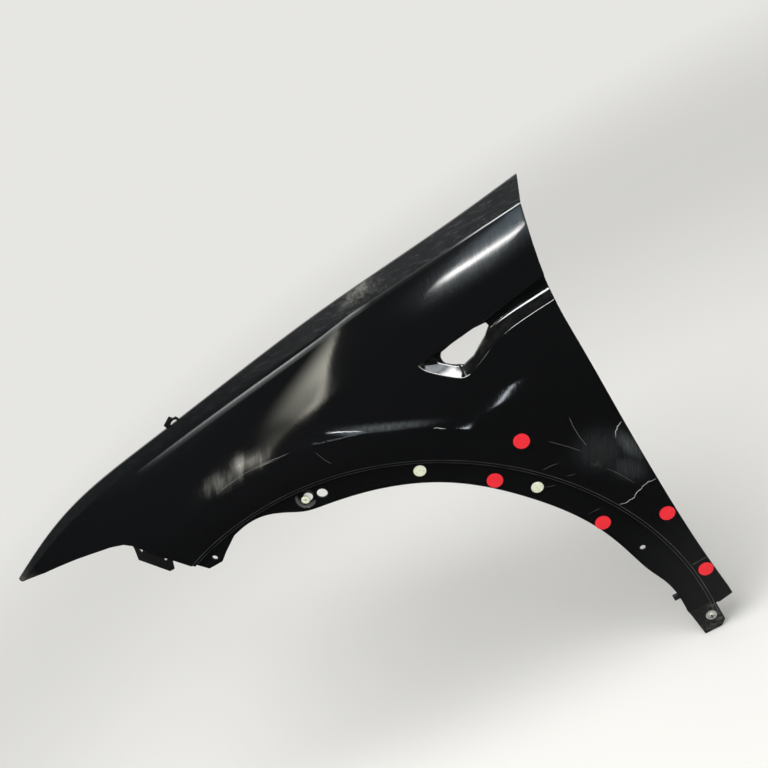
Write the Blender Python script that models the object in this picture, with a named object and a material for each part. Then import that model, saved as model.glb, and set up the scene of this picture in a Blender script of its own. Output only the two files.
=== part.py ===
# Left front fender of a compact car: one moulded skin with the arch trim clips, screw and dots on it.
# Metres. +X points to the rear of the car, -Y away from it, +Z up. The origin is the bolting pad
# on the back of the foot, where the fender meets the sill.
import math

import bmesh
import bpy
import numpy as np
from mathutils import Matrix, Vector
from mathutils.geometry import delaunay_2d_cdt

WALL = 0.0028                 # thickness of the moulded skin
GAP = 0.0003                  # clearance between two pieces that touch
PAD_DEPTH = 0.0098            # the foot lies this far inside the arch skin
SKIN_Y = -PAD_DEPTH - WALL    # outer skin at the foot of the door edge

# Wheel arch: an ellipse along the edge of the painted skin, whose rear end stays above the foot
ARCH_END_X, ARCH_Z = 0.028, 0.073
ARCH_HALF, ARCH_RISE = 0.448, 0.495
ARCH_X, ARCH_TOP = ARCH_END_X - ARCH_HALF, ARCH_Z + ARCH_RISE
ARCH_REAR, ARCH_FRONT = math.radians(-8), math.radians(116)

# Stations along the car, the front ones measured from the middle of the arch, and at each
# the height of the crease below the bonnet over the top of the arch, and the side under it
STATION_FRONT, STATION_REAR = (-0.51, -0.34, -0.14, 0.06), (-0.11, 0.10)
STATION_X = tuple(ARCH_X + x for x in STATION_FRONT) + STATION_REAR
CREASE_RISE = (0.020, 0.077, 0.110, 0.130, 0.150, 0.161)
CREASE_IN = (0.150, 0.140, 0.124, 0.106, 0.086, 0.072)    # crease, inboard of the arch skin
SIDE_IN = (0.145, 0.095, 0.022, 0.002, -0.002, 0.002)     # side skin, inboard of the arch skin
SHOULDER = (0.085, 0.090, 0.105, 0.130, 0.210, 0.250)     # height of the rounded shoulder

# Bonnet band: the ledge above the crease that lies under the bonnet's edge
BAND_SLOPE = math.radians(30.5)
BAND_FRONT, BAND_REAR = (-0.505, -0.42, -0.18, -0.03), (-0.25, 0.0, 0.095)
BAND_X = tuple(ARCH_X + x for x in BAND_FRONT) + BAND_REAR
BAND_RISE = (0.006, 0.0100, 0.0105, 0.0125, 0.0175, 0.0190, 0.0220)
BAND_END_X = 0.095

# Door edge, its upper heights measured from the top of the arch
DOOR_LOW, DOOR_HIGH = (0.040, 0.13, 0.30, 0.42), (-0.023, 0.042, 0.096, 0.1595)
DOOR_Z = DOOR_LOW + tuple(ARCH_TOP + z for z in DOOR_HIGH)
DOOR_X = (0.0580, 0.0528, 0.0503, 0.0518, 0.0542, 0.0560, 0.0643, 0.0805)

# Outline points as (x, z), where the edge is not a rule; those in front of the arch are measured
# from the front end of the trim flange
NOSE = (-0.4160, 0.0519)
NOSE_EDGE = ((-0.0990, -0.0151), (-0.1140, 0.0009), (-0.1490, 0.0339), (-0.1620, 0.0449), (-0.1770, 0.0509),
             (-0.2050, 0.0529), (-0.2800, 0.0509), (-0.3570, 0.0479), (-0.4050, 0.0499))
FRONT_TAB = ((-0.0030, -0.0011), (-0.0320, -0.0201), (-0.0490, -0.0331), (-0.0770, -0.0371))
SILL_END = ((0.035, 0.0355), (0.0290, 0.0375))
FOOT = ((0.0280, -0.011), (0.0185, -0.021), (-0.0104, -0.022))

# From the arch edge inwards: a first step, a narrow strip, a second step, then the trim flange
STRIP_STEP, STRIP_WIDTH = 0.0020, 0.0050
FLANGE_STEP = 0.0050
STEP_RUN = 0.0014             # width of each step seen from the side
FLANGE_ANGLES = (-4, 5, 9.5, 16, 25, 42, 57, 75, 83, 86.5, 90, 93.5, 97, 101)
FLANGE_WIDTH = (0.0420, 0.0450, 0.0520, 0.0535, 0.0497, 0.0470, 0.0415, 0.0442, 0.0446,
                0.0410, 0.0280, 0.0165, 0.0125, 0.0140)

# Brow: the crease that runs over the front of the arch, with a hollow above it
BROW_OFFSET = 0.050
BROW_REACH = 0.034
BROW_ANGLES = (20, 45, 60, 78, 100, 112, 122)
BROW_DEPTH = (0.0, 0.0008, 0.002, 0.0065, 0.0080, 0.0045, 0.0005)

# Vent: a recess that runs out through the door edge, with a hole in its floor; heights are
# measured from the top of the arch
VENT_DEPTH = 0.0130
VENT_TOP = ((0.075, 0.075), (-0.034, 0.063), (-0.124, 0.058), (-0.143, 0.057))
VENT_BOTTOM = ((-0.143, 0.057), (-0.139, 0.047), (-0.120, 0.030), (-0.100, 0.014), (-0.087, 0.014),
               (-0.067, 0.021), (-0.043, 0.031), (-0.022, 0.037), (0.013, 0.040), (0.075, 0.042))
VENT_HOLE = ((-0.038, 0.058), (-0.035, 0.047), (-0.086, 0.021), (-0.104, 0.030), (-0.113, 0.038),
             (-0.113, 0.047), (-0.107, 0.053))
VENT_TOP_WALL, VENT_BOTTOM_WALL = 0.0030, 0.0120

# Trim clips in the arch flange, as (angle round the arch, distance inside its edge)
CLIPS = ((84.8, 0.0232), (62.6, 0.0202), (40.6, 0.0265))
CLIP_HEAD_R = 0.0090
CLIP_HEAD_T = 0.0018
CLIP_SHANK_R = 0.0036
CLIP_BARB_R = 0.0050
CLIP_LENGTH = 0.0130
CLIP_TIP_R = 0.0018
CLIP_TOP = 0.75               # flat top of the head, as a share of its radius
CLIP_EDGE_T = 0.0007          # thickness left at the edge of the head
CLIP_BARBS = (0.0015, 0.0045, 0.0055)    # how far behind the flange the shank swells, narrows, swells
CLIP_DIMPLE, CLIP_DIMPLE_FLOOR_R, CLIP_DIMPLE_DEPTH = 0.0020, 0.0012, 0.0008
RAISED_HEAD_R = 0.0065        # the front clip has lifted, and its head stands off its collar
RAISED_BY = 0.0030
COLLAR_R, COLLAR_SHIFT = 0.0080, 0.0020
POCKET_R, POCKET_DEPTH = 0.0155, 0.0025
CLIP_PLAY = 0.0004            # clearance round a shank

# Plain holes, as (angle round the arch, distance inside its edge, radius)
TRIM_HOLES = ((81.4, 0.0243, 0.0076), (15.1, 0.0340, 0.0044))
TAB_HOLE, TAB_HOLE_R = (-0.0545, -0.0220), 0.0042     # measured from the front end of the flange

# Foot: a flat pad below a small joggle, with its screw
JOGGLE_Z = 0.0365
JOGGLE_RUN = 0.004
SCREW_X, SCREW_Z = 0.0126, 0.0090
SCREW_HEAD_R, SCREW_HEAD_T = 0.0058, 0.0030
SCREW_CROWN_R, SCREW_CROWN_DROP = 0.0046, 0.0012
SCREW_WASHER_R, SCREW_WASHER_T, SCREW_WASHER_RIM = 0.0088, 0.0014, 0.0010
SCREW_SHANK_R, SCREW_TIP_R, SCREW_LENGTH = 0.0030, 0.0015, 0.0140
SCREW_PLAY = 0.0005
CROSS_LENGTH, CROSS_WIDTH, CROSS_DEPTH = 0.0052, 0.0014, 0.0018
PAD_NOTCH = (0.0225, 0.0285, 0.0020, 0.0014)    # small slot beside the joggle: x, z, half sizes

# Returned edges, the bracket for the bumper (measured from the front end of the flange), the loop
# behind the band (measured from the band's edge) and the lug by the foot
DOOR_RETURN = 0.012
NOSE_RETURN = 0.006
RETURN_RUN = 0.0008
BRACKET = ((-0.1620, 0.0484), (-0.1662, 0.0374), (-0.1778, 0.0151), (-0.1397, -0.0182),
           (-0.1280, -0.0152), (-0.1205, -0.0031), (-0.1135, 0.0059), (-0.1169, 0.0084),
           (-0.1316, 0.0026), (-0.1260, 0.0174), (-0.1460, 0.0349), (-0.1595, 0.0276),
           (-0.1570, 0.0444))
BRACKET_REAR = 6              # the point of the list where the rear leg starts
BRACKET_WALL = 0.0036
LOOP = ((-0.0115, -0.0046), (-0.0130, 0.0054), (0.0020, 0.0131), (0.0040, 0.0109), (0.0055, 0.0079),
        (0.0105, 0.0079), (0.0125, 0.0044), (0.0125, -0.0026), (0.0095, -0.0026), (0.0093, 0.0029),
        (0.0058, 0.0048), (0.0006, 0.0036), (-0.0040, 0.0009), (-0.0045, -0.0046))
LOOP_AHEAD, LOOP_WALL = 0.103, 0.003     # in front of the middle of the arch
SET_BACK = 0.0008             # bracket and loop start this far behind the face of the skin
LUG_AT, LUG_SIZE, LUG_LENGTH = (-0.0225, 0.073), 0.0070, 0.0105

# Round paper dots stuck to the skin, as (angle round the arch, distance outside its edge) and as
# (height, distance in front of the door edge)
DOT_R, DOT_T = 0.0120, 0.0004
DOT_RINGS = (0.5, 1.0)
ARCH_DOTS = ((45.9, 0.0423), (48.7, -0.0306), (25.4, -0.0382))
DOOR_DOTS = ((0.2332, 0.0138), (0.1066, 0.0116))

# Fineness of the mesh
PITCH = 0.021
EDGE_STEP = 0.0145
GRID_CLEAR = 0.45             # grid points closer to a held line than this share of the pitch are dropped
MERGE = 0.0002
ROUND_SIDES, HOLE_SIDES, SMALL_SIDES = 20, 16, 12
SHARP = math.radians(28)
STEEPEST = 2.0                # the wall's depth along y grows no further than this on steep skin


def spline(knots, values):
    """Returns the natural cubic curve through the values at the knots."""
    k, v = np.array(knots, float), np.array(values, float)
    h, n = np.diff(k), len(k)
    rows, right = np.eye(n), np.zeros(n)
    for i in range(1, n - 1):
        rows[i, i - 1:i + 2] = h[i - 1], 2 * (h[i - 1] + h[i]), h[i]
        right[i] = 6 * ((v[i + 1] - v[i]) / h[i] - (v[i] - v[i - 1]) / h[i - 1])
    bend = np.linalg.solve(rows, right)

    def at(x):
        i = np.clip(np.searchsorted(k, x) - 1, 0, n - 2)
        a = (k[i + 1] - x) / h[i]
        b = 1 - a
        return a * v[i] + b * v[i + 1] + ((a**3 - a) * bend[i] + (b**3 - b) * bend[i + 1]) * h[i]**2 / 6

    return at


crease_z = spline(STATION_X, [ARCH_TOP + rise for rise in CREASE_RISE])
crease_in = spline(STATION_X, CREASE_IN)
side_in = spline(STATION_X, SIDE_IN)
shoulder = spline(STATION_X, SHOULDER)
band_rise = spline(BAND_X, BAND_RISE)
door_x = spline(DOOR_Z, DOOR_X)
flange_width = spline([math.radians(a) for a in FLANGE_ANGLES], FLANGE_WIDTH)
brow_depth = spline([math.radians(a) for a in BROW_ANGLES], BROW_DEPTH)


def arch_angle(x, z):
    return np.arctan2((z - ARCH_Z) / ARCH_RISE, (x - ARCH_X) / ARCH_HALF)


def arch_offset(x, z):
    """Distance outside the arch edge, measured along the ray from the arch centre."""
    r = np.hypot(x - ARCH_X, z - ARCH_Z)
    share = np.hypot((x - ARCH_X) / ARCH_HALF, (z - ARCH_Z) / ARCH_RISE)
    return r - r / np.maximum(share, 1e-6)


def arch_point(angle, offset):
    across, up = ARCH_HALF * math.cos(angle), ARCH_RISE * math.sin(angle)
    grow = 1 + offset / math.hypot(across, up)
    return ARCH_X + across * grow, ARCH_Z + up * grow


def from_flange(*points):
    """Points measured from the front end of the trim flange, in the part's own frame."""
    x0, z0 = arch_point(math.radians(FLANGE_ANGLES[-1]), -FLANGE_WIDTH[-1])
    return [(x0 + x, z0 + z) for x, z in points]


def over_arch(points):
    """Points whose height is measured from the top of the arch, in the part's own frame."""
    return [(x, ARCH_TOP + z) for x, z in points]


nose, tab_hole = from_flange(NOSE, TAB_HOLE)
nose_edge, front_tab, bracket = from_flange(*NOSE_EDGE), from_flange(*FRONT_TAB), from_flange(*BRACKET)
vent_top, vent_bottom, vent_hole = over_arch(VENT_TOP), over_arch(VENT_BOTTOM), over_arch(VENT_HOLE)
loop_x = ARCH_X - LOOP_AHEAD


def ramp(value, start, width):
    return np.clip((value - start) / width, 0, 1)


def distance(x, z, line):
    """Distance from each point to a line of straight runs."""
    best = np.full(np.shape(x), 1e9)
    for (x0, z0), (x1, z1) in zip(line, line[1:]):
        along = ((x - x0) * (x1 - x0) + (z - z0) * (z1 - z0)) / ((x1 - x0)**2 + (z1 - z0)**2)
        along = np.clip(along, 0, 1)
        best = np.minimum(best, np.hypot(x - x0 - along * (x1 - x0), z - z0 - along * (z1 - z0)))
    return best


def inside(x, z, loop):
    """True where a point lies inside the closed outline."""
    hit = np.zeros(np.shape(x), bool)
    for (x0, z0), (x1, z1) in zip(loop, list(loop[1:]) + [loop[0]]):
        crosses = (z0 > z) != (z1 > z)
        with np.errstate(divide="ignore", invalid="ignore"):
            at = x0 + (z - z0) * (x1 - x0) / (z1 - z0)
        hit ^= crosses & (x < at)
    return hit


def vent_recess(x, z):
    """Share of the vent's full depth: 0 on the skin, 1 on its floor."""
    near = np.minimum(distance(x, z, vent_top) / VENT_TOP_WALL,
                      distance(x, z, vent_bottom) / VENT_BOTTOM_WALL)
    return np.where(inside(x, z, vent_top + vent_bottom[1:]), np.clip(near, 0, 1), 0)


def hole_centre(angle, inset):
    return arch_point(math.radians(angle), -inset)


def skin_y(x, z):
    """The outer surface of the skin, as y over the side view."""
    x, z = np.asarray(x, float), np.asarray(z, float)
    below = crease_z(x) - z
    share = np.clip(below / shoulder(x), 0, 1)
    y = side_in(x) + (crease_in(x) - side_in(x)) * (1 - share)**2
    y = y + np.maximum(-below, 0) / math.tan(BAND_SLOPE)
    out, angle = arch_offset(x, z), arch_angle(x, z)
    past_brow = np.maximum(out - BROW_OFFSET, 0) / BROW_REACH
    low, high = math.radians(BROW_ANGLES[0]), math.radians(BROW_ANGLES[-1])
    deep = np.where((angle > low) & (angle < high), brow_depth(np.clip(angle, low, high)), 0)
    y = y + np.maximum(deep, 0) * past_brow * np.exp(1 - past_brow)
    y = y + STRIP_STEP * ramp(-out, 0, STEP_RUN)
    y = y + FLANGE_STEP * ramp(-out, STRIP_WIDTH, STEP_RUN)
    pocket_x, pocket_z = hole_centre(*CLIPS[0])
    from_pocket = np.hypot(x - pocket_x, z - pocket_z)
    y = y + POCKET_DEPTH * ramp(POCKET_R - from_pocket, 0, STEP_RUN) * (out < 0)
    y = y + VENT_DEPTH * vent_recess(x, z)
    on_foot = ramp(JOGGLE_Z - z, 0, JOGGLE_RUN) * (x < SILL_END[1][0] + STEP_RUN)
    return SKIN_Y + y * (1 - on_foot) + PAD_DEPTH * on_foot


def wall_y(x, z, reach=0.002):
    """Depth of the wall along y, which keeps it near WALL square to the skin, with the returned edges."""
    along = (skin_y(x + reach, z) - skin_y(x - reach, z)) / (2 * reach)
    up = (skin_y(x, z + reach) - skin_y(x, z - reach)) / (2 * reach)
    wall = WALL * np.minimum(np.sqrt(1 + along**2 + up**2), STEEPEST)
    from_door = np.where((z > DOOR_Z[0]) & (z < DOOR_Z[-1] + RETURN_RUN), door_x(z) - x, DOOR_RETURN)
    wall = wall + (DOOR_RETURN - WALL) * ramp(WALL + RETURN_RUN - from_door, 0, RETURN_RUN)
    from_nose = distance(x, z, nose_edge)
    return wall + (NOSE_RETURN - WALL) * ramp(WALL + RETURN_RUN - from_nose, 0, RETURN_RUN)


def on_skin(x, z):
    return Vector((x, float(skin_y(x, z)), z))


def skin_normal(x, z, reach=0.006):
    """Unit vector out of the skin, averaged over a small patch."""
    along = on_skin(x + reach, z) - on_skin(x - reach, z)
    up = on_skin(x, z + reach) - on_skin(x, z - reach)
    return along.cross(up).normalized()


def split(points, step):
    """Points at about even steps along a line of straight runs, with its corners kept."""
    made = [points[0]]
    for (x0, z0), (x1, z1) in zip(points, points[1:]):
        count = max(1, round(math.hypot(x1 - x0, z1 - z0) / step))
        made += [(x0 + (x1 - x0) * i / count, z0 + (z1 - z0) * i / count) for i in range(1, count + 1)]
    return made


def arch_run(offset, start, end, step):
    """Points along the arch at one distance from its edge, or at a distance that varies."""
    count = max(2, round(abs(end - start) * ARCH_HALF / step))
    angles = [start + (end - start) * i / count for i in range(count + 1)]
    return [arch_point(a, offset(a) if callable(offset) else offset) for a in angles]


def station_run(height, start, end, step):
    count = max(2, round(abs(end - start) / step))
    xs = [start + (end - start) * i / count for i in range(count + 1)]
    return [(x, float(height(x))) for x in xs]


def circle(x, z, radius, count=ROUND_SIDES):
    turn = 2 * math.pi / count
    return [(x + radius * math.cos(turn * i), z + radius * math.sin(turn * i)) for i in range(count)]


def outline(step):
    """The closed outline of the whole skin in the side view."""
    top = station_run(lambda x: crease_z(x) + band_rise(x), nose[0], BAND_END_X, step)
    door_end = (DOOR_X[0], DOOR_Z[0])
    count = round((DOOR_Z[-1] - DOOR_Z[0]) / step)
    heights = [DOOR_Z[-1] + (DOOR_Z[0] - DOOR_Z[-1]) * i / count for i in range(count + 1)]
    door = [(float(door_x(z)), z) for z in heights]
    foot = split([door_end] + list(SILL_END) + list(FOOT), step)
    first, last = math.radians(FLANGE_ANGLES[0]), math.radians(FLANGE_ANGLES[-1])
    inner = arch_run(lambda a: -float(flange_width(a)), first, last, step)
    front = split([inner[-1]] + front_tab + nose_edge + [nose], step)
    return top + door + foot[1:] + inner + front[1:-1]


def inset(line, width):
    """The line moved sideways by the width, to its left as it runs."""
    moved = []
    for i, (x, z) in enumerate(line):
        before, after = line[max(i - 1, 0)], line[min(i + 1, len(line) - 1)]
        run = Vector((after[0] - before[0], after[1] - before[1])).normalized()
        moved.append((x - run.y * width, z + run.x * width))
    return moved


def creases(step):
    """Lines that the mesh has to follow, so that its folds come out straight."""
    lines = [station_run(crease_z, nose[0] - step, DOOR_X[-1] + step, step)]
    for offset in (0, -STEP_RUN, -STRIP_WIDTH, -STRIP_WIDTH - STEP_RUN):
        lines.append(arch_run(offset, ARCH_REAR, ARCH_FRONT, step))
    low, high = math.radians(BROW_ANGLES[1]), math.radians(BROW_ANGLES[-1])
    lines.append(arch_run(BROW_OFFSET, low, high, step))
    for line in (vent_top, inset(vent_top, VENT_TOP_WALL), vent_bottom,
                 inset(vent_bottom, VENT_BOTTOM_WALL)):
        lines.append(split(line, step))
    for width in (WALL, WALL + RETURN_RUN):
        heights = np.arange(DOOR_Z[0] - step, DOOR_Z[-1] + step, step)
        lines.append([(float(door_x(z)) - width, float(z)) for z in heights])
        lines.append(split(inset(nose_edge, -width), step))
    foot_right = SILL_END[1][0] + STEP_RUN
    for height in (JOGGLE_Z, JOGGLE_Z - JOGGLE_RUN):
        lines.append([(FOOT[-1][0] - step, height), (foot_right, height)])
    return lines


def openings():
    """Closed outlines of the holes through the skin."""
    shank_hole = CLIP_SHANK_R + CLIP_PLAY
    holes = [circle(*hole_centre(*clip), shank_hole, SMALL_SIDES) for clip in CLIPS]
    holes += [circle(*hole_centre(angle, within), radius, HOLE_SIDES) for angle, within, radius in TRIM_HOLES]
    holes.append(circle(*tab_hole, TAB_HOLE_R, SMALL_SIDES))
    holes.append(circle(SCREW_X, SCREW_Z, SCREW_SHANK_R + SCREW_PLAY, SMALL_SIDES))
    notch_x, notch_z, half_x, half_z = PAD_NOTCH
    holes.append([(notch_x + half_x * i, notch_z + half_z * j)
                  for i, j in ((-1, -1), (1, -1), (1, 1), (-1, 1))])
    holes.append(split(vent_hole + vent_hole[:1], EDGE_STEP)[:-1])
    return holes


def skin_mesh(step, pitch):
    """Triangulates the side view inside the outline and lifts it onto the surface."""
    edge_loop, holes, lines = outline(step), openings(), creases(step)
    pocket = circle(*hole_centre(*CLIPS[0]), POCKET_R, HOLE_SIDES)
    pocket_floor = circle(*hole_centre(*CLIPS[0]), POCKET_R - STEP_RUN, HOLE_SIDES)
    loops = [edge_loop] + holes + [pocket, pocket_floor]
    points, edges = [], []
    for loop in loops:
        first = len(points)
        points += loop
        edges += [(first + i, first + (i + 1) % len(loop)) for i in range(len(loop))]
    for line in lines:
        first = len(points)
        points += line
        edges += [(first + i, first + i + 1) for i in range(len(line) - 1)]
    held = np.array(points)
    xs = np.arange(nose[0], BAND_END_X, pitch)
    zs = np.arange(FOOT[1][1], ARCH_TOP + CREASE_RISE[-1] + BAND_RISE[-1], pitch)
    grid_x, grid_z = (g.ravel() for g in np.meshgrid(xs, zs))
    gap = np.hypot(grid_x[:, None] - held[:, 0], grid_z[:, None] - held[:, 1]).min(axis=1)
    keep = inside(grid_x, grid_z, edge_loop) & (gap > GRID_CLEAR * pitch)
    points += list(zip(grid_x[keep].tolist(), grid_z[keep].tolist()))
    flat = [Vector(p) for p in points]
    flat, _, faces, *_ = delaunay_2d_cdt(flat, edges, [], 0, MERGE, False)
    centre = np.array([[sum(flat[i][k] for i in f) / 3 for k in (0, 1)] for f in faces])
    keep = inside(centre[:, 0], centre[:, 1], edge_loop)
    for hole in holes:
        keep &= ~inside(centre[:, 0], centre[:, 1], hole)
    side = np.array([(v.x, v.y) for v in flat])
    depth = skin_y(side[:, 0], side[:, 1])
    back = depth + wall_y(side[:, 0], side[:, 1])
    return side, depth, back, [f for f, k in zip(faces, keep) if k]


def new_mesh(name, points, faces):
    mesh = bpy.data.meshes.new(name)
    mesh.from_pydata(points, [], faces)
    mesh.validate()
    return mesh


def finish(name, mesh, material):
    thing = bpy.data.objects.new(name, mesh)
    bpy.context.scene.collection.objects.link(thing)
    mesh.materials.append(material)
    mesh.shade_smooth()
    mesh.set_sharp_from_angle(angle=SHARP)
    return thing


def material(name, colour, roughness, metallic=0.0):
    made = bpy.data.materials.new(name)
    made.use_nodes = True
    shader = made.node_tree.nodes["Principled BSDF"]
    shader.inputs["Base Color"].default_value = (*colour, 1)
    shader.inputs["Roughness"].default_value = roughness
    shader.inputs["Metallic"].default_value = metallic
    return made


def box(name, corner_low, corner_high):
    bm = bmesh.new()
    bmesh.ops.create_cube(bm, size=1)
    low, high = Vector(corner_low), Vector(corner_high)
    for vert in bm.verts:
        vert.co = Vector([(low[i] + high[i]) / 2 + vert.co[i] * (high[i] - low[i]) for i in range(3)])
    mesh = bpy.data.meshes.new(name)
    bm.to_mesh(mesh)
    bm.free()
    return mesh


def prism(name, loop, low_y, high_y):
    """A solid with the given outline in the side view, between two depths."""
    bm = bmesh.new()
    near = [bm.verts.new((x, low_y, z)) for x, z in loop]
    face = bm.faces.new(near)
    made = bmesh.ops.extrude_face_region(bm, geom=[face])["geom"]
    for vert in [g for g in made if isinstance(g, bmesh.types.BMVert)]:
        vert.co.y = high_y
    bmesh.ops.recalc_face_normals(bm, faces=bm.faces)
    mesh = bpy.data.meshes.new(name)
    bm.to_mesh(mesh)
    bm.free()
    return mesh


def helper(name, mesh):
    """An object that only shapes another one."""
    thing = bpy.data.objects.new(name, mesh)
    bpy.context.scene.collection.objects.link(thing)
    thing.hide_render = True
    thing.display_type = "WIRE"
    return thing


def combine(target, tool, operation):
    cut = target.modifiers.new(tool.name, "BOOLEAN")
    cut.operation = operation
    cut.solver = "EXACT"
    cut.object = tool


def bumper_bracket():
    """A strap under the nose edge, with a gap beside each leg; it runs inboard with the skin."""
    (front_x, front_z), (rear_x, rear_z) = bracket[0], bracket[BRACKET_REAR]
    front_y, rear_y = float(skin_y(front_x, front_z)), float(skin_y(rear_x, rear_z))
    mesh = prism("bumper_bracket_shape", bracket, SET_BACK, SET_BACK + BRACKET_WALL)
    for vert in mesh.vertices:
        vert.co.y += front_y + (rear_y - front_y) * (vert.co.x - front_x) / (rear_x - front_x)
    return helper("bumper_bracket_shape", mesh)


def band_loop():
    """A small standing loop behind the band."""
    top = float(crease_z(loop_x) + band_rise(loop_x))
    near = float(skin_y(loop_x, top)) + SET_BACK
    shape = [(loop_x + x, top + z) for x, z in LOOP]
    return helper("band_loop_shape", prism("band_loop_shape", shape, near, near + LOOP_WALL))


def edge_lug():
    x, z = LUG_AT
    near = float(skin_y(x + LUG_SIZE, z)) + WALL / 2
    low, high = (x, near, z - LUG_SIZE / 2), (x + LUG_LENGTH, near + LUG_SIZE, z + LUG_SIZE / 2)
    return helper("edge_lug_shape", box("edge_lug_shape", low, high))


def skin_solid():
    """Closes the lifted triangles into a wall, with a rim round its outline and its holes."""
    side, front, back, faces = skin_mesh(EDGE_STEP, PITCH)
    count = len(side)
    points = [(x, y, z) for (x, z), y in zip(side.tolist(), front.tolist())]
    points += [(x, y, z) for (x, z), y in zip(side.tolist(), back.tolist())]
    edges = {(f[i], f[i - 2]) for f in faces for i in range(3)}
    rim = [(a, b) for a, b in edges if (b, a) not in edges]
    solid = list(faces) + [tuple(count + i for i in reversed(f)) for f in faces]
    solid += [(b, a, count + a, count + b) for a, b in rim]
    return points, solid


def fender_panel(paint):
    mesh = new_mesh("fender_panel", *skin_solid())
    bm = bmesh.new()
    bm.from_mesh(mesh)
    bmesh.ops.delete(bm, geom=[v for v in bm.verts if not v.link_faces], context="VERTS")
    bmesh.ops.triangulate(bm, faces=bm.faces)
    bmesh.ops.recalc_face_normals(bm, faces=bm.faces)
    bm.to_mesh(mesh)
    bm.free()
    panel = finish("fender_panel", mesh, paint)
    for tool in (bumper_bracket(), band_loop(), edge_lug()):
        combine(panel, tool, "UNION")
    return panel


def lathe(name, profile, sides=ROUND_SIDES):
    """Turns a closed profile of (radius, height) about +Z, its first and last radius being 0."""
    bm = bmesh.new()
    rings = []
    for radius, height in profile:
        if radius == 0:
            rings.append([bm.verts.new((0, 0, height))])
        else:
            turn = 2 * math.pi / sides
            rings.append([bm.verts.new((radius * math.cos(turn * i), radius * math.sin(turn * i), height))
                          for i in range(sides)])
    for a, b in zip(rings, rings[1:]):
        for i in range(sides):
            j = (i + 1) % sides
            if len(a) == 1:
                bm.faces.new((a[0], b[i], b[j]))
            elif len(b) == 1:
                bm.faces.new((a[i], b[0], a[j]))
            else:
                bm.faces.new((a[i], b[i], b[j], a[j]))
    bmesh.ops.recalc_face_normals(bm, faces=bm.faces)
    mesh = bpy.data.meshes.new(name)
    bm.to_mesh(mesh)
    bm.free()
    return mesh


def seat(thing, x, z, depth=0.0):
    """Sets a piece modelled along +Z on the skin at (x, z), looking outwards."""
    normal = skin_normal(x, z)
    side = Vector((1, 0, 0)) - normal * normal.x
    side.normalize()
    turn = Matrix((side, normal.cross(side), normal)).transposed().to_4x4()
    thing.matrix_world = Matrix.Translation(Vector(seat_point(x, z)) + normal * (GAP + depth)) @ turn


def seat_point(x, z):
    """The skin round a hole, where a head rests."""
    reach = CLIP_SHANK_R + CLIP_PLAY
    around = [on_skin(x + reach * i, z + reach * j) for i, j in ((1, 0), (-1, 0), (0, 1), (0, -1))]
    return sum(around, Vector()) / len(around)


def clip_profile(head_radius, base):
    """Head, shank, and the barbs that hold behind the flange; the head's underside is at the base."""
    back, top = -WALL - 2 * GAP, base + CLIP_HEAD_T
    swells, narrows, swells_again = CLIP_BARBS
    return [(0, top - CLIP_DIMPLE_DEPTH), (CLIP_DIMPLE_FLOOR_R, top - CLIP_DIMPLE_DEPTH), (CLIP_DIMPLE, top),
            (head_radius * CLIP_TOP, top), (head_radius, base + CLIP_EDGE_T), (head_radius, base),
            (CLIP_SHANK_R, base), (CLIP_SHANK_R, back), (CLIP_BARB_R, back - swells),
            (CLIP_SHANK_R, back - narrows), (CLIP_BARB_R, back - swells_again),
            (CLIP_TIP_R, -CLIP_LENGTH), (0, -CLIP_LENGTH)]


def trim_clip(index, place, plastic):
    x, z = hole_centre(*place)
    name = f"trim_clip_{index + 1}"
    if index > 0:
        clip = finish(name, lathe(name, clip_profile(CLIP_HEAD_R, 0)), plastic)
    else:
        clip = finish(name, lathe(name, clip_profile(RAISED_HEAD_R, RAISED_BY)), plastic)
        collar = lathe("collar_shape", [(0, 0), (COLLAR_R, 0), (COLLAR_R, CLIP_HEAD_T), (0, CLIP_HEAD_T)])
        collar.transform(Matrix.Translation((COLLAR_SHIFT, COLLAR_SHIFT, 0)))
        tool = helper("collar_shape", collar)
        seat(tool, x, z)
        combine(clip, tool, "UNION")
    seat(clip, x, z)
    return clip


def foot_screw(steel):
    back, top = -SCREW_LENGTH, SCREW_WASHER_T + SCREW_HEAD_T
    profile = [(0, top), (SCREW_CROWN_R, top), (SCREW_HEAD_R, top - SCREW_CROWN_DROP),
               (SCREW_HEAD_R, SCREW_WASHER_T), (SCREW_WASHER_R, SCREW_WASHER_RIM), (SCREW_WASHER_R, 0),
               (SCREW_SHANK_R, 0), (SCREW_SHANK_R, back + SCREW_SHANK_R), (SCREW_TIP_R, back), (0, back)]
    screw = finish("foot_screw", lathe("foot_screw", profile), steel)
    reach, half = CROSS_LENGTH / 2, CROSS_WIDTH / 2
    cross = [(-reach, -half), (-half, -half), (-half, -reach), (half, -reach), (half, -half),
             (reach, -half), (reach, half), (half, half), (half, reach), (-half, reach),
             (-half, half), (-reach, half)]
    recess = prism("cross_recess", cross, top - CROSS_DEPTH, top + CROSS_DEPTH)
    recess.transform(Matrix.Rotation(math.radians(90), 4, "X"))
    tool = helper("cross_recess", recess)
    for thing in (screw, tool):
        seat(thing, SCREW_X, SCREW_Z)
    combine(screw, tool, "DIFFERENCE")
    return screw


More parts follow.
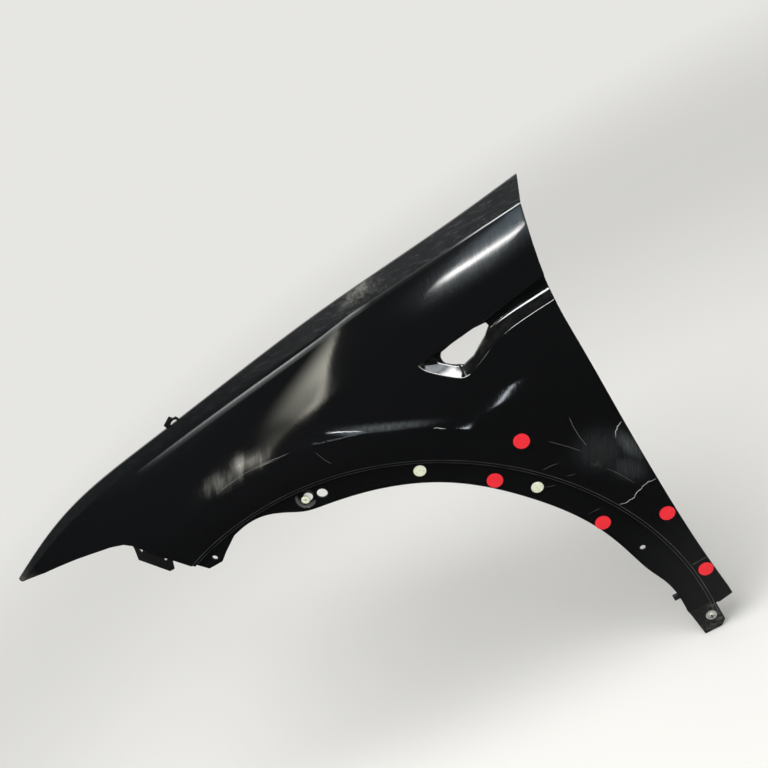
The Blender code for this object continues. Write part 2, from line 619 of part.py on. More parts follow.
def marker_dot(index, x, z, paper):
    """A thin round sticker that follows the skin."""
    normal = skin_normal(x, z)
    side = [(x, z)] + [(x + DOT_R * share * math.cos(2 * math.pi * i / ROUND_SIDES),
                        z + DOT_R * share * math.sin(2 * math.pi * i / ROUND_SIDES) * abs(normal.y))
                       for share in DOT_RINGS for i in range(ROUND_SIDES)]
    base = [on_skin(*p) + normal * GAP for p in side]
    count = len(base)
    points = base + [p + normal * DOT_T for p in base]
    faces = []
    for i in range(ROUND_SIDES):
        j = (i + 1) % ROUND_SIDES
        a, b, c, d = 1 + i, 1 + j, 1 + ROUND_SIDES + j, 1 + ROUND_SIDES + i
        faces += [(0, b, a), (a, b, c, d)]
        faces += [(count, count + a, count + b), (count + d, count + c, count + b, count + a)]
        faces.append((d, c, count + c, count + d))
    name = f"marker_dot_{index + 1}"
    mesh = new_mesh(name, points, faces)
    bm = bmesh.new()
    bm.from_mesh(mesh)
    bmesh.ops.recalc_face_normals(bm, faces=bm.faces)
    bm.to_mesh(mesh)
    bm.free()
    return finish(name, mesh, paper)


def main():
    for thing in list(bpy.data.objects):
        bpy.data.objects.remove(thing)
    fender_panel(material("black_gloss_plastic", (0.008, 0.009, 0.012), 0.12))
    cream = material("cream_plastic", (0.78, 0.76, 0.62), 0.45)
    for index, place in enumerate(CLIPS):
        trim_clip(index, place, cream)
    foot_screw(material("zinc_steel", (0.62, 0.62, 0.60), 0.35, 1.0))
    red = material("red_paper", (0.85, 0.02, 0.03), 0.55)
    places = [arch_point(math.radians(angle), out) for angle, out in ARCH_DOTS]
    places += [(float(door_x(height)) - inset_by, height) for height, inset_by in DOOR_DOTS]
    for index, (x, z) in enumerate(places):
        marker_dot(index, x, z, red)


main()
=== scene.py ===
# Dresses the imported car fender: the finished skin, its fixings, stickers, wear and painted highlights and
# shade, studio and camera.
import math

import bmesh
import bpy
import numpy as np
from mathutils import Matrix, Vector, noise
from mathutils.geometry import delaunay_2d_cdt
from mathutils.kdtree import KDTree


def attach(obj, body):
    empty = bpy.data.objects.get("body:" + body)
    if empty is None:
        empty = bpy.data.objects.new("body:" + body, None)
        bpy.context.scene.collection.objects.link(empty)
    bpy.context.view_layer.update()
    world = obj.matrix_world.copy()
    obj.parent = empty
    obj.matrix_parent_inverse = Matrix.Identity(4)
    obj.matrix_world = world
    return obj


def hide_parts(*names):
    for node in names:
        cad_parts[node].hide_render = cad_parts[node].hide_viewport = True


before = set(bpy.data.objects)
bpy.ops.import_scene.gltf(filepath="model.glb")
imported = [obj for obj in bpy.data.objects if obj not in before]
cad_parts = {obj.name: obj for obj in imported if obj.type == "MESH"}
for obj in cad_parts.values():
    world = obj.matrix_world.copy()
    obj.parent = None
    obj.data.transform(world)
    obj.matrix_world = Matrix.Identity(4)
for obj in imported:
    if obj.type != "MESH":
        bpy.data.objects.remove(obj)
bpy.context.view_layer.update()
print("frame loaded:", len(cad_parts), "nodes")

# The skin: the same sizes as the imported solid, drawn finer
skin = {
    "wall": 0.0028, "padDepth": 0.0098, "clearance": 0.0003,
    "archEndX": 0.028, "archZ": 0.073, "archHalf": 0.448, "archRise": 0.495,
    "archRear": -8, "archFront": 116,                                 # degrees round the arch
    "stationFront": (-0.51, -0.34, -0.14, 0.06), "stationRear": (-0.11, 0.10),
    "creaseRise": (0.020, 0.077, 0.110, 0.130, 0.150, 0.161),
    "creaseIn": (0.150, 0.140, 0.124, 0.106, 0.086, 0.072),
    "sideIn": (0.145, 0.095, 0.022, 0.002, -0.002, 0.002),
    "shoulder": (0.085, 0.090, 0.105, 0.130, 0.210, 0.250),
    "bandSlope": 30.5, "bandEndX": 0.095,
    "bandFront": (-0.505, -0.42, -0.18, -0.03), "bandRear": (-0.25, 0.0, 0.095),
    "bandRise": (0.006, 0.0100, 0.0105, 0.0125, 0.0175, 0.0190, 0.0220),
    "doorLow": (0.040, 0.13, 0.30, 0.42), "doorHigh": (-0.023, 0.042, 0.096, 0.1595),
    "doorX": (0.0580, 0.0528, 0.0503, 0.0518, 0.0542, 0.0560, 0.0643, 0.0805),
    "nose": (-0.4160, 0.0519),
    "noseEdge": ((-0.0990, -0.0151), (-0.1140, 0.0009), (-0.1490, 0.0339), (-0.1620, 0.0449),
                 (-0.1770, 0.0509), (-0.2050, 0.0529), (-0.2800, 0.0509), (-0.3570, 0.0479),
                 (-0.4050, 0.0499)),
    "frontTab": ((-0.0030, -0.0011), (-0.0320, -0.0201), (-0.0490, -0.0331), (-0.0770, -0.0371)),
    "sillEnd": ((0.035, 0.0355), (0.0290, 0.0375)),
    "foot": ((0.0280, -0.011), (0.0185, -0.021), (-0.0104, -0.022)),
    "joggleZ": 0.0365, "joggleRun": 0.004,
    "doorReturn": 0.012, "noseReturn": 0.006, "returnRun": 0.0008,
    "edgeRound": 0.0008, "foldRound": 0.0006,
    "pitch": 0.0052, "edgeStep": 0.0040, "beside": 0.0005, "apart": 0.5, "merge": 0.00015,
}
archX, archTop = skin["archEndX"] - skin["archHalf"], skin["archZ"] + skin["archRise"]
skinY = -skin["padDepth"] - skin["wall"]

# The steps from the arch edge down to the trim flange, the brow over the arch and the vent
flange = {
    "stripStep": 0.0020, "stripWidth": 0.0050, "step": 0.0050, "run": 0.0014,
    "angles": (-4, 5, 9.5, 16, 25, 42, 57, 75, 83, 86.5, 90, 93.5, 97, 101),
    "widths": (0.0420, 0.0450, 0.0520, 0.0535, 0.0497, 0.0470, 0.0415, 0.0442, 0.0446,
               0.0410, 0.0280, 0.0165, 0.0125, 0.0140),
    "pocketRadius": 0.0155, "pocketDepth": 0.0025,
    "holes": ((81.4, 0.0243, 0.0076), (15.1, 0.0340, 0.0044)),        # angle, inset, radius
    "tabHole": (-0.0545, -0.0220), "tabHoleRadius": 0.0042,
}
brow = {
    "offset": 0.050, "reach": 0.034,
    "angles": (20, 45, 60, 78, 100, 112, 122),
    "depths": (0.0, 0.0008, 0.002, 0.0065, 0.0080, 0.0045, 0.0005),
}
vent = {
    "depth": 0.0130, "topWall": 0.0030, "shelf": 0.0120, "filletFrom": 0.8, "filletTo": 1.2,
    "top": ((0.075, 0.075), (-0.034, 0.063), (-0.124, 0.058), (-0.143, 0.057)),
    "bottom": ((-0.143, 0.057), (-0.139, 0.047), (-0.120, 0.030), (-0.100, 0.014), (-0.087, 0.014),
               (-0.067, 0.021), (-0.043, 0.031), (-0.022, 0.037), (0.013, 0.040), (0.075, 0.042)),
    "hole": ((-0.038, 0.058), (-0.035, 0.047), (-0.086, 0.021), (-0.104, 0.030), (-0.113, 0.038),
             (-0.113, 0.047), (-0.107, 0.053)),
}


def naturalCurve(knots, values):
    k, v = np.array(knots, float), np.array(values, float)
    h, n = np.diff(k), len(k)
    rows, right = np.eye(n), np.zeros(n)
    for i in range(1, n - 1):
        rows[i, i - 1:i + 2] = h[i - 1], 2 * (h[i - 1] + h[i]), h[i]
        right[i] = 6 * ((v[i + 1] - v[i]) / h[i] - (v[i] - v[i - 1]) / h[i - 1])
    bend = np.linalg.solve(rows, right)

    def at(x):
        i = np.clip(np.searchsorted(k, x) - 1, 0, n - 2)
        a = (k[i + 1] - x) / h[i]
        b = 1 - a
        return a * v[i] + b * v[i + 1] + ((a**3 - a) * bend[i] + (b**3 - b) * bend[i + 1]) * h[i]**2 / 6

    return at


stationX = [archX + x for x in skin["stationFront"]] + list(skin["stationRear"])
bandX = [archX + x for x in skin["bandFront"]] + list(skin["bandRear"])
doorZ = list(skin["doorLow"]) + [archTop + z for z in skin["doorHigh"]]
creaseZ = naturalCurve(stationX, [archTop + z for z in skin["creaseRise"]])
creaseIn = naturalCurve(stationX, skin["creaseIn"])
sideIn = naturalCurve(stationX, skin["sideIn"])
shoulder = naturalCurve(stationX, skin["shoulder"])
bandRise = naturalCurve(bandX, skin["bandRise"])
doorX = naturalCurve(doorZ, skin["doorX"])
flangeWidth = naturalCurve(np.radians(flange["angles"]), flange["widths"])
browDepth = naturalCurve(np.radians(brow["angles"]), brow["depths"])


def archAngle(x, z):
    return np.arctan2((z - skin["archZ"]) / skin["archRise"], (x - archX) / skin["archHalf"])


def archOffset(x, z):     # how far outside the arch edge a point lies
    r = np.hypot(x - archX, z - skin["archZ"])
    share = np.hypot((x - archX) / skin["archHalf"], (z - skin["archZ"]) / skin["archRise"])
    return r - r / np.maximum(share, 1e-6)


def archPoint(angle, offset):
    across, up = skin["archHalf"] * math.cos(angle), skin["archRise"] * math.sin(angle)
    grow = 1 + offset / math.hypot(across, up)
    return archX + across * grow, skin["archZ"] + up * grow


flangeEnd = archPoint(math.radians(flange["angles"][-1]), -flange["widths"][-1])


def fromFlange(points):
    return [(flangeEnd[0] + x, flangeEnd[1] + z) for x, z in points]


def overArch(points):
    return [(x, archTop + z) for x, z in points]


nosePoint, tabHole = fromFlange([skin["nose"], flange["tabHole"]])
noseEdge, frontTab = fromFlange(skin["noseEdge"]), fromFlange(skin["frontTab"])


def rounded(points, rounds, closed=False):     # cuts the corners off a line a few times over
    for _ in range(rounds):
        pairs = list(zip(points, points[1:] + points[:1])) if closed else list(zip(points, points[1:]))
        cut = [(a[0] + (b[0] - a[0]) * s, a[1] + (b[1] - a[1]) * s) for a, b in pairs for s in (0.25, 0.75)]
        points = cut if closed else points[:1] + cut[1:-1] + points[-1:]
    return points


ventTop, ventBottom = overArch(vent["top"]), rounded(overArch(vent["bottom"]), 2)
ventHole = rounded(overArch(vent["hole"]), 1, closed=True)


def easy(value, start, width):     # 0 to 1 with soft ends
    t = np.clip((value - start) / width, 0, 1)
    return t * t * (3 - 2 * t)


def awayFrom(x, z, line):     # distance from a line of points
    best = np.full(np.shape(x), np.inf)
    for (x0, z0), (x1, z1) in zip(line, line[1:]):
        along = ((x - x0) * (x1 - x0) + (z - z0) * (z1 - z0)) / max((x1 - x0)**2 + (z1 - z0)**2, 1e-12)
        along = np.clip(along, 0, 1)
        best = np.minimum(best, np.hypot(x - x0 - along * (x1 - x0), z - z0 - along * (z1 - z0)))
    return best


def within(x, z, loop):     # whether a point lies inside a closed outline
    hit = np.zeros(np.shape(x), bool)
    for (x0, z0), (x1, z1) in zip(loop, list(loop[1:]) + [loop[0]]):
        crosses = (z0 > z) != (z1 > z)
        with np.errstate(divide="ignore", invalid="ignore"):
            at = x0 + (z - z0) * (x1 - x0) / (z1 - z0)
        hit ^= crosses & (x < at)
    return hit


def fromPocket(x, z):     # distance from the middle of the front clip's pocket
    px, pz = clipPlace(0)
    return np.hypot(x - px, z - pz)


def ventShare(x, z):     # 0 on the skin, 1 on the vent's floor, with a soft fillet under the shelf
    fromTop = easy(awayFrom(x, z, ventTop), 0, vent["topWall"])
    start, end = vent["filletFrom"], vent["filletTo"]
    s = np.minimum(awayFrom(x, z, ventBottom) / vent["shelf"], end)
    fromBottom = s - np.maximum(s - start, 0)**2 / (2 * (end - start))
    return np.where(within(x, z, ventTop + ventBottom[1:]), np.minimum(fromTop, fromBottom), 0)


def skinFace(x, z):     # the outer face as y over the side view
    x, z = np.asarray(x, float), np.asarray(z, float)
    below = creaseZ(x) - z
    share = np.clip(below / shoulder(x), 0, 1)
    y = sideIn(x) + (creaseIn(x) - sideIn(x)) * (1 - share)**2
    soft = skin["foldRound"]
    y = y + (np.sqrt(below**2 + soft**2) - below - soft) / 2 / math.tan(math.radians(skin["bandSlope"]))
    out, angle = archOffset(x, z), archAngle(x, z)
    pastBrow = np.maximum(out - brow["offset"], 0) / brow["reach"]
    low, high = math.radians(brow["angles"][0]), math.radians(brow["angles"][-1])
    deep = np.where((angle > low) & (angle < high), browDepth(np.clip(angle, low, high)), 0)
    y = y + np.maximum(deep, 0) * pastBrow * np.exp(1 - pastBrow)
    y = y + flange["stripStep"] * easy(-out, 0, flange["run"])
    y = y + flange["step"] * easy(-out, flange["stripWidth"], flange["run"])
    inPocket = easy(flange["pocketRadius"] - fromPocket(x, z), 0, flange["run"]) * (out < 0)
    y = y + flange["pocketDepth"] * inPocket
    y = y + vent["depth"] * ventShare(x, z)
    onFoot = easy(skin["joggleZ"] - z, 0, skin["joggleRun"]) * (x < skin["sillEnd"][1][0] + flange["run"])
    return skinY + y * (1 - onFoot) + skin["padDepth"] * onFoot


def wallDepth(x, z, reach=0.002):
    along = (skinFace(x + reach, z) - skinFace(x - reach, z)) / (2 * reach)
    up = (skinFace(x, z + reach) - skinFace(x, z - reach)) / (2 * reach)
    wall = skin["wall"] * np.minimum(np.sqrt(1 + along**2 + up**2), 2)
    run = skin["returnRun"]
    fromDoor = np.where((z > doorZ[0]) & (z < doorZ[-1] + run), doorX(z) - x, skin["doorReturn"])
    wall = wall + (skin["doorReturn"] - skin["wall"]) * np.clip((skin["wall"] + run - fromDoor) / run, 0, 1)
    fromNose = awayFrom(x, z, noseEdge)
    return wall + (skin["noseReturn"] - skin["wall"]) * np.clip((skin["wall"] + run - fromNose) / run, 0, 1)


def onSkin(x, z):
    return Vector((x, float(skinFace(x, z)), z))


def skinNormal(x, z, reach=0.006):
    along = onSkin(x + reach, z) - onSkin(x - reach, z)
    up = onSkin(x, z + reach) - onSkin(x, z - reach)
    return along.cross(up).normalized()


# Trim clips, as (angle round the arch, distance inside its edge); the front one has lifted
clips = {
    "places": ((84.8, 0.0232), (62.6, 0.0202), (40.6, 0.0265)),
    "headRadius": 0.0090, "headThick": 0.0018, "shankRadius": 0.0036, "barbRadius": 0.0050,
    "length": 0.0130, "raisedRadius": 0.0065, "raisedBy": 0.0030,
    "collarRadius": 0.0066, "collarShift": (0.0048, 0.0010), "play": 0.0004, "spin": 1.5,
    # the dish in the crown as (radius, depth), its rim as shares of the head's radius and thickness,
    # the barbs as (share of their radius, depth), and the tip as (radius, distance from the end)
    "dish": ((0, 0.0009), (0.0010, 0.0009), (0.0017, 0.0005), (0.0021, 0.0001), (0.0026, 0)),
    "rim": ((0.60, 0), (0.78, 0.08), (0.90, 0.25), (0.97, 0.45), (1, 0.70), (0.99, 0.92), (0.96, 1)),
    "barbs": ((1, 0.0015), (0.96, 0.0022), (0.72, 0.0045), (1, 0.0055)),
    "tip": ((0.0030, 0.0015), (0.0018, 0), (0, 0)),
    "collar": ((0.0005, 0.0001), (0, 0.0005), (0, 0.0013), (0.0004, 0.0017), (0.0012, 0.0018),
               (0.0030, 0.0014)),     # inwards from its radius, height
}


def clipPlace(index):
    angle, inset = clips["places"][index]
    return archPoint(math.radians(angle), -inset)


def steps(start, end, count):     # evenly spaced values, both ends kept
    return [start + (end - start) * i / count for i in range(count + 1)]


def evenly(points, step):     # points at even steps along a line, its corners kept
    made = [points[0]]
    for (x0, z0), (x1, z1) in zip(points, points[1:]):
        count = max(1, round(math.hypot(x1 - x0, z1 - z0) / step))
        made += list(zip(steps(x0, x1, count), steps(z0, z1, count)))[1:]
    return made


def archRun(offset, start, end, step):
    count = max(2, round(abs(end - start) * skin["archHalf"] / step))
    return [archPoint(a, offset(a) if callable(offset) else offset) for a in steps(start, end, count)]


def alongCar(height, start, end, step):
    count = max(2, round(abs(end - start) / step))
    return [(x, float(height(x))) for x in steps(start, end, count)]


def ring(x, z, radius, count):
    turn = 2 * math.pi / count
    return [(x + radius * math.cos(turn * i), z + radius * math.sin(turn * i)) for i in range(count)]


def shifted(line, width, closed=False):     # the line moved sideways, to its left as it runs
    moved, n = [], len(line)
    for i, (x, z) in enumerate(line):
        before = line[i - 1] if closed or i else line[0]
        after = line[(i + 1) % n] if closed else line[min(i + 1, n - 1)]
        run = Vector((after[0] - before[0], after[1] - before[1])).normalized()
        moved.append((x - run.y * width, z + run.x * width))
    return moved


def skinOutline(step):
    top = alongCar(lambda x: creaseZ(x) + bandRise(x), nosePoint[0], skin["bandEndX"], step)
    count = round((doorZ[-1] - doorZ[0]) / step)
    door = [(float(doorX(z)), z) for z in steps(doorZ[-1], doorZ[0], count)]
    foot = evenly([(skin["doorX"][0], doorZ[0])] + list(skin["sillEnd"]) + list(skin["foot"]), step)
    first, last = math.radians(flange["angles"][0]), math.radians(flange["angles"][-1])
    inner = archRun(lambda a: -float(flangeWidth(a)), first, last, step)
    front = evenly([inner[-1]] + frontTab + noseEdge + [nosePoint], step)
    return top + door + foot[1:] + inner + front[1:-1]


def foldLines(step):     # lines that the mesh follows so that each fold comes out straight
    soft, run, strip = skin["foldRound"], flange["run"], flange["stripWidth"]
    noseX, doorEnd = nosePoint[0] - step, skin["doorX"][-1] + step
    lines = [alongCar(lambda x, d=d: creaseZ(x) + d * soft, noseX, doorEnd, step) for d in (-3, -1, 0, 1, 3)]
    rear, front = math.radians(skin["archRear"]), math.radians(skin["archFront"])
    beside = skin["beside"]
    for offset in (beside, 0, -run / 2, -run, -run - beside, -strip + beside, -strip, -strip - run / 2,
                   -strip - run, -strip - run - beside):
        lines.append(archRun(offset, rear, front, step))
    low, high = math.radians(brow["angles"][1]), math.radians(brow["angles"][-1])
    for offset in (-0.0012, 0, 0.0012):
        lines.append(archRun(brow["offset"] + offset, low, high, step))
    for width in (-beside, 0, vent["topWall"] / 2, vent["topWall"], vent["topWall"] + beside):
        lines.append(evenly(shifted(ventTop, width), step))
    edge, start, end = beside / vent["shelf"], vent["filletFrom"], vent["filletTo"]
    for share in (-edge, 0, edge, start, 0.93, 1.07, end):
        lines.append(evenly(shifted(ventBottom, vent["shelf"] * share), step))
    for width in (skin["wall"], skin["wall"] + skin["returnRun"]):
        heights = np.arange(doorZ[0] - step, doorZ[-1] + step, step)
        lines.append([(float(doorX(z)) - width, float(z)) for z in heights])
        lines.append(evenly(shifted(noseEdge, -width), step))
    footRight = skin["sillEnd"][1][0] + run
    for height in (skin["joggleZ"], skin["joggleZ"] - skin["joggleRun"] / 2,
                   skin["joggleZ"] - skin["joggleRun"]):
        lines.append([(skin["foot"][-1][0] - step, height), (footRight, height)])
    return lines


def skinHoles():
    shank = clips["shankRadius"] + clips["play"]
    holes = [ring(*clipPlace(i), shank, 20) for i in range(3)]
    holes += [ring(*archPoint(math.radians(a), -d), r, 32) for a, d, r in flange["holes"]]
    holes.append(ring(*tabHole, flange["tabHoleRadius"], 24))
    holes.append(ring(screw["x"], screw["z"], screw["shankRadius"] + 0.0005, 20))
    nx, nz, halfX, halfZ = screw["slot"]
    holes.append([(nx + halfX * i, nz + halfZ * j) for i, j in ((-1, -1), (1, -1), (1, 1), (-1, 1))])
    holes.append(evenly(ventHole + ventHole[:1], skin["edgeStep"])[:-1])
    return holes


# The foot's screw, and the small slot beside the step above it as (x, z, half sizes)
screw = {
    "x": 0.0126, "z": 0.0090, "headRadius": 0.0058, "headThick": 0.0030, "washerRadius": 0.0088,
    "washerThick": 0.0014, "shankRadius": 0.0030, "length": 0.0140,
    # rims as (share of the radius, depth below the top) and (share of the radius, share of the height)
    "headRim": ((0.62, 0), (0.80, 0.0002), (0.92, 0.0006), (0.99, 0.0013), (1, 0.0018)),
    "washerRim": ((0.90, 0.80), (0.98, 0.62), (1, 0.40)), "threadPitch": 0.0012, "threadTurns": 8,
    "crossLength": 0.0084, "crossWidth": 0.0024, "crossDepth": 0.0022,
    "slot": (0.0225, 0.0285, 0.0020, 0.0014),
}


def linkPiece(name, mesh):
    piece = bpy.data.objects.new(name, mesh)
    bpy.context.scene.collection.objects.link(piece)
    return piece


def meshOf(name, points, faces):
    mesh = bpy.data.meshes.new(name)
    mesh.from_pydata(points, [], faces)
    mesh.validate()
    return mesh


def outwards(bm, mesh):     # writes a bmesh into a mesh, its faces turned outwards
    bmesh.ops.recalc_face_normals(bm, faces=bm.faces)
    bm.to_mesh(mesh)
    bm.free()
    return mesh


def closedMesh(name, points, faces):
    mesh = meshOf(name, points, faces)
    bm = bmesh.new()
    bm.from_mesh(mesh)
    return outwards(bm, mesh)


def smoothed(mesh):     # soft shading that breaks at sharp edges
    mesh.shade_smooth()
    mesh.set_sharp_from_angle(angle=math.radians(40))


def addMark(mesh, name, values):
    layer = mesh.attributes.new(name, "FLOAT", "POINT")
    layer.data.foreach_set("value", np.asarray(values, np.float32))


def sideMesh(edgeLoop, holes):     # the side view as points and triangles that follow every fold
    step, pitch, rim = skin["edgeStep"], skin["pitch"], skin["edgeRound"]
    loops = [edgeLoop] + holes
    loops += [ring(*clipPlace(0), flange["pocketRadius"] - flange["run"] * k, 40) for k in (0, 0.5, 1)]
    loops += [shifted(edgeLoop, -rim * k, closed=True) for k in (0.35, 1)]
    points, edges = [], []
    for loop in loops:
        first = len(points)
        points += loop
        edges += [(first + i, first + (i + 1) % len(loop)) for i in range(len(loop))]
    for line in foldLines(step):
        first = len(points)
        points += line
        edges += [(first + i, first + i + 1) for i in range(len(line) - 1)]
    tree = KDTree(len(points))
    for i, (x, z) in enumerate(points):
        tree.insert((x, z, 0), i)
    tree.balance()
    xs = np.arange(nosePoint[0], skin["bandEndX"], pitch)
    zs = np.arange(skin["foot"][1][1], archTop + skin["creaseRise"][-1] + skin["bandRise"][-1], pitch)
    gridX, gridZ = (g.ravel() for g in np.meshgrid(xs, zs))
    keep = within(gridX, gridZ, edgeLoop)
    for x, z in zip(gridX[keep].tolist(), gridZ[keep].tolist()):
        if tree.find((x, z, 0))[2] > skin["apart"] * pitch:
            points.append((x, z))
    points = [Vector(spot) for spot in points]
    spots, _, faces, *_ = delaunay_2d_cdt(points, edges, [], 0, skin["merge"], False)
    side = np.array([(v.x, v.y) for v in spots])
    centre = np.array([side[list(f)].mean(axis=0) for f in faces])
    keep = within(centre[:, 0], centre[:, 1], edgeLoop)
    for hole in holes:
        keep &= ~within(centre[:, 0], centre[:, 1], hole)
    faces = [tuple(f) for f, k in zip(faces, keep) if k]
    used = sorted({i for f in faces for i in f})
    place = {old: new for new, old in enumerate(used)}
    return side[used, 0], side[used, 1], [tuple(place[i] for i in f) for f in faces]


def buildSkin(name, paint):
    edgeLoop, rim = skinOutline(skin["edgeStep"]), skin["edgeRound"]
    x, z, faces = sideMesh(edgeLoop, skinHoles())
    closed = edgeLoop + edgeLoop[:1]

    def face(px, pz):     # the outer face with its edge rounded over
        d = np.clip(awayFrom(px, pz, closed), 0, rim)
        d = np.where(within(px, pz, edgeLoop), d, 0)
        return skinFace(px, pz) + rim - np.sqrt(np.maximum(rim**2 - (rim - d)**2, 0))

    def rear(px, pz):
        return skinFace(px, pz) + wallDepth(px, pz)

    def normals(height, way, h=0.0002):
        dx = (height(x + h, z) - height(x - h, z)) / (2 * h)
        dz = (height(x, z + h) - height(x, z - h)) / (2 * h)
        n = np.stack([dx * way, -np.ones_like(dx) * way, dz * way], 1)
        return n / np.linalg.norm(n, axis=1)[:, None]

    front, back = face(x, z), rear(x, z)
    count = len(x)
    solid = list(zip(x, front, z)) + list(zip(x, back, z))
    runs = {(f[i], f[i - 2]) for f in faces for i in range(3)}
    rimEdges = [(a, b) for a, b in runs if (b, a) not in runs]
    allFaces = faces + [tuple(count + i for i in reversed(f)) for f in faces]
    allFaces += [(b, a, count + a, count + b) for a, b in rimEdges]
    mesh = closedMesh(name, solid, allFaces)
    vertNormals = np.concatenate([normals(face, 1), normals(rear, -1)])
    corner = []
    for poly in mesh.polygons:
        flatSide = len(poly.vertices) == 4
        for i in poly.vertices:
            corner.append(poly.normal[:] if flatSide else tuple(vertNormals[i]))
    mesh.shade_smooth()
    mesh.normals_split_custom_set(corner)
    mesh.materials.append(paint)
    addWear(mesh, x, z, count)
    return linkPiece(name, mesh)


# Where the paint is worn or dusty, and where highlights are painted on. A patch is its middle x and z, half
# sizes, lean in degrees and strength, and the painted highlight line along the band's fold is given over x:
# how far below the fold, and how bright
wear = {
    "patches": {
        "smear": ((-0.462, 0.6235, 0.042, 0.0085, 3, 0.60), (-0.422, 0.6275, 0.030, 0.0088, -4, 1.0)),
        "scuff": ((-0.166, 0.7265, 0.028, 0.0055, 4, 1.4), (-0.0118, 0.3675, 0.004, 0.0022, -30, 1.8),
                  (0.0225, 0.0285, 0.0036, 0.0028, 40, 4.0), (0.0045, -0.0135, 0.0036, 0.0020, 30, 3.0),
                  (0.0062, -0.0185, 0.0026, 0.0018, -20, 3.0)),
        "dent": ((0.040, 0.369, 0.010, 0.027, 8, 1.0), (0.004, 0.385, 0.034, 0.030, -50, 0.34),
                 (0.024, 0.335, 0.018, 0.026, 30, 0.45)),
        # a painted highlight sheen of fine swirl scratches, along the shoulder's light streak and along the
        # brow
        "combed": ((-0.004, 0.697, 0.088, 0.016, 3, 0.42), (-0.222, 0.5785, 0.056, 0.0042, -24.5, 1.0)),
        "dull": ((-0.368, 0.634, 0.056, 0.0200, 0, 1.0),)},
    "creaseShift": ((-0.56, -0.455, -0.378, -0.302, -0.247, -0.193),
                    (0.0060, 0.0052, 0.0045, 0.0036, 0.0025, 0.0)),
    "creaseLevel": ((-0.61, -0.515, -0.455, -0.38, -0.30, -0.25, -0.19),
                    (0.0, 0.4, 0.6, 0.85, 0.95, 0.75, 0.75)),
    "creaseEnd": -0.190, "creaseRun": 0.035, "creaseDrop": 0.85, "creaseReach": 0.05,
    "bandFrom": -0.55, "bandRun": 0.35, "bandLeast": 0.35,
    "noseLength": 0.050, "noseEdge": 0.004, "footEdge": 0.006, "footRest": 0.45, "shelfEdge": 0.004,
    "bandEdge": (-0.0008, 0.0016), "rimLean": 0.9, "rimFade": (-0.004, 0.012),
}


def patches(x, z, name):     # soft leaning ovals, each 1 at its middle
    total = np.zeros(np.shape(x))
    for cx, cz, a, b, lean, strength in wear["patches"][name]:
        turn = math.radians(lean)
        u = ((x - cx) * math.cos(turn) + (z - cz) * math.sin(turn)) / a
        v = (-(x - cx) * math.sin(turn) + (z - cz) * math.cos(turn)) / b
        total = np.maximum(total, np.exp(-(u * u + v * v)**1.5) * strength)
    return np.clip(total, 0, 1)


def fineLine(away, width):     # 1 on a line, 0 from its width on
    return np.clip(1 - np.abs(away) / width, 0, 1)


def edgeHighlightLines(x, z):     # painted highlights: the two fine lines round the arch, and the lower rim of the clip's pocket
    out, width = archOffset(x, z), skin["beside"]
    lines = fineLine(out, width) + fineLine(out + flange["stripWidth"], width)
    px, pz = clipPlace(0)
    rim = fineLine(fromPocket(x, z) - flange["pocketRadius"] + flange["run"], flange["run"])
    lower = easy(px - x + (pz - z) * wear["rimLean"], *wear["rimFade"]) * (out < 0)
    return np.clip(lines + rim * lower, 0, 1)


def addWear(mesh, x, z, count):
    below = creaseZ(x) - z
    tip = np.clip(1 - (x - nosePoint[0]) / wear["noseLength"], 0, 1)
    toEdge = awayFrom(x, z, noseEdge + [nosePoint])
    footEdge = awayFrom(x, z, list(skin["sillEnd"][1:]) + list(skin["foot"]))
    onFoot = np.where(footEdge < wear["footEdge"], 1, wear["footRest"])
    least, reach = wear["bandLeast"], wear["creaseReach"]
    dusted = least + (1 - least) * easy(x, wear["bandFrom"], wear["bandRun"])
    fromCrease = below - np.interp(x, *wear["creaseShift"])
    ended = wear["creaseDrop"] * easy(x, wear["creaseEnd"], wear["creaseRun"])
    faded = np.interp(x, *wear["creaseLevel"]) * (1 - ended)
    marks = {
        **{name: patches(x, z, name) for name in wear["patches"]},
        "band": easy(-below, *wear["bandEdge"]) * dusted,
        # a painted highlight: a light line just below the band's fold, shifted and faded along x
        "crease": (np.abs(below) < reach) * faded,
        "creaseDown": np.clip(fromCrease, -reach, reach),
        "nose": np.clip(tip**2 + 0.5 * tip * (toEdge < wear["noseEdge"]), 0, 1),
        "shelf": ventShare(x, z) * (1 - easy(awayFrom(x, z, ventBottom), vent["shelf"], wear["shelfEdge"])),
        "foot": easy(skin["joggleZ"] - z, 0, skin["joggleRun"]) * onFoot,
        # painted highlight lines on the steps round the arch and on the pocket rim
        "stepEdge": edgeHighlightLines(x, z),
    }
    for name, value in marks.items():
        addMark(mesh, name, np.concatenate([value, np.zeros(count)]))
    addMark(mesh, "back", np.repeat([0, 1], count))


def prism(name, loop, near, far, lean=0.0, leanFrom=0.0):
    bm = bmesh.new()
    face = bm.faces.new([bm.verts.new((x, near + (x - leanFrom) * lean, z)) for x, z in loop])
    made = bmesh.ops.extrude_face_region(bm, geom=[face])["geom"]
    for vert in [g for g in made if isinstance(g, bmesh.types.BMVert)]:
        vert.co.y += far - near
    return outwards(bm, bpy.data.meshes.new(name))


def plain(piece, material=None):     # turns a piece with modifiers into a plain mesh
    bpy.context.view_layer.update()
    ready = piece.evaluated_get(bpy.context.evaluated_depsgraph_get())
    mesh = bpy.data.meshes.new_from_object(ready)
    mesh.transform(piece.matrix_world)
    name = piece.name
    bpy.data.objects.remove(piece)
    smoothed(mesh)
    if material:
        mesh.materials.clear()
        mesh.materials.append(material)
    return linkPiece(name, mesh)


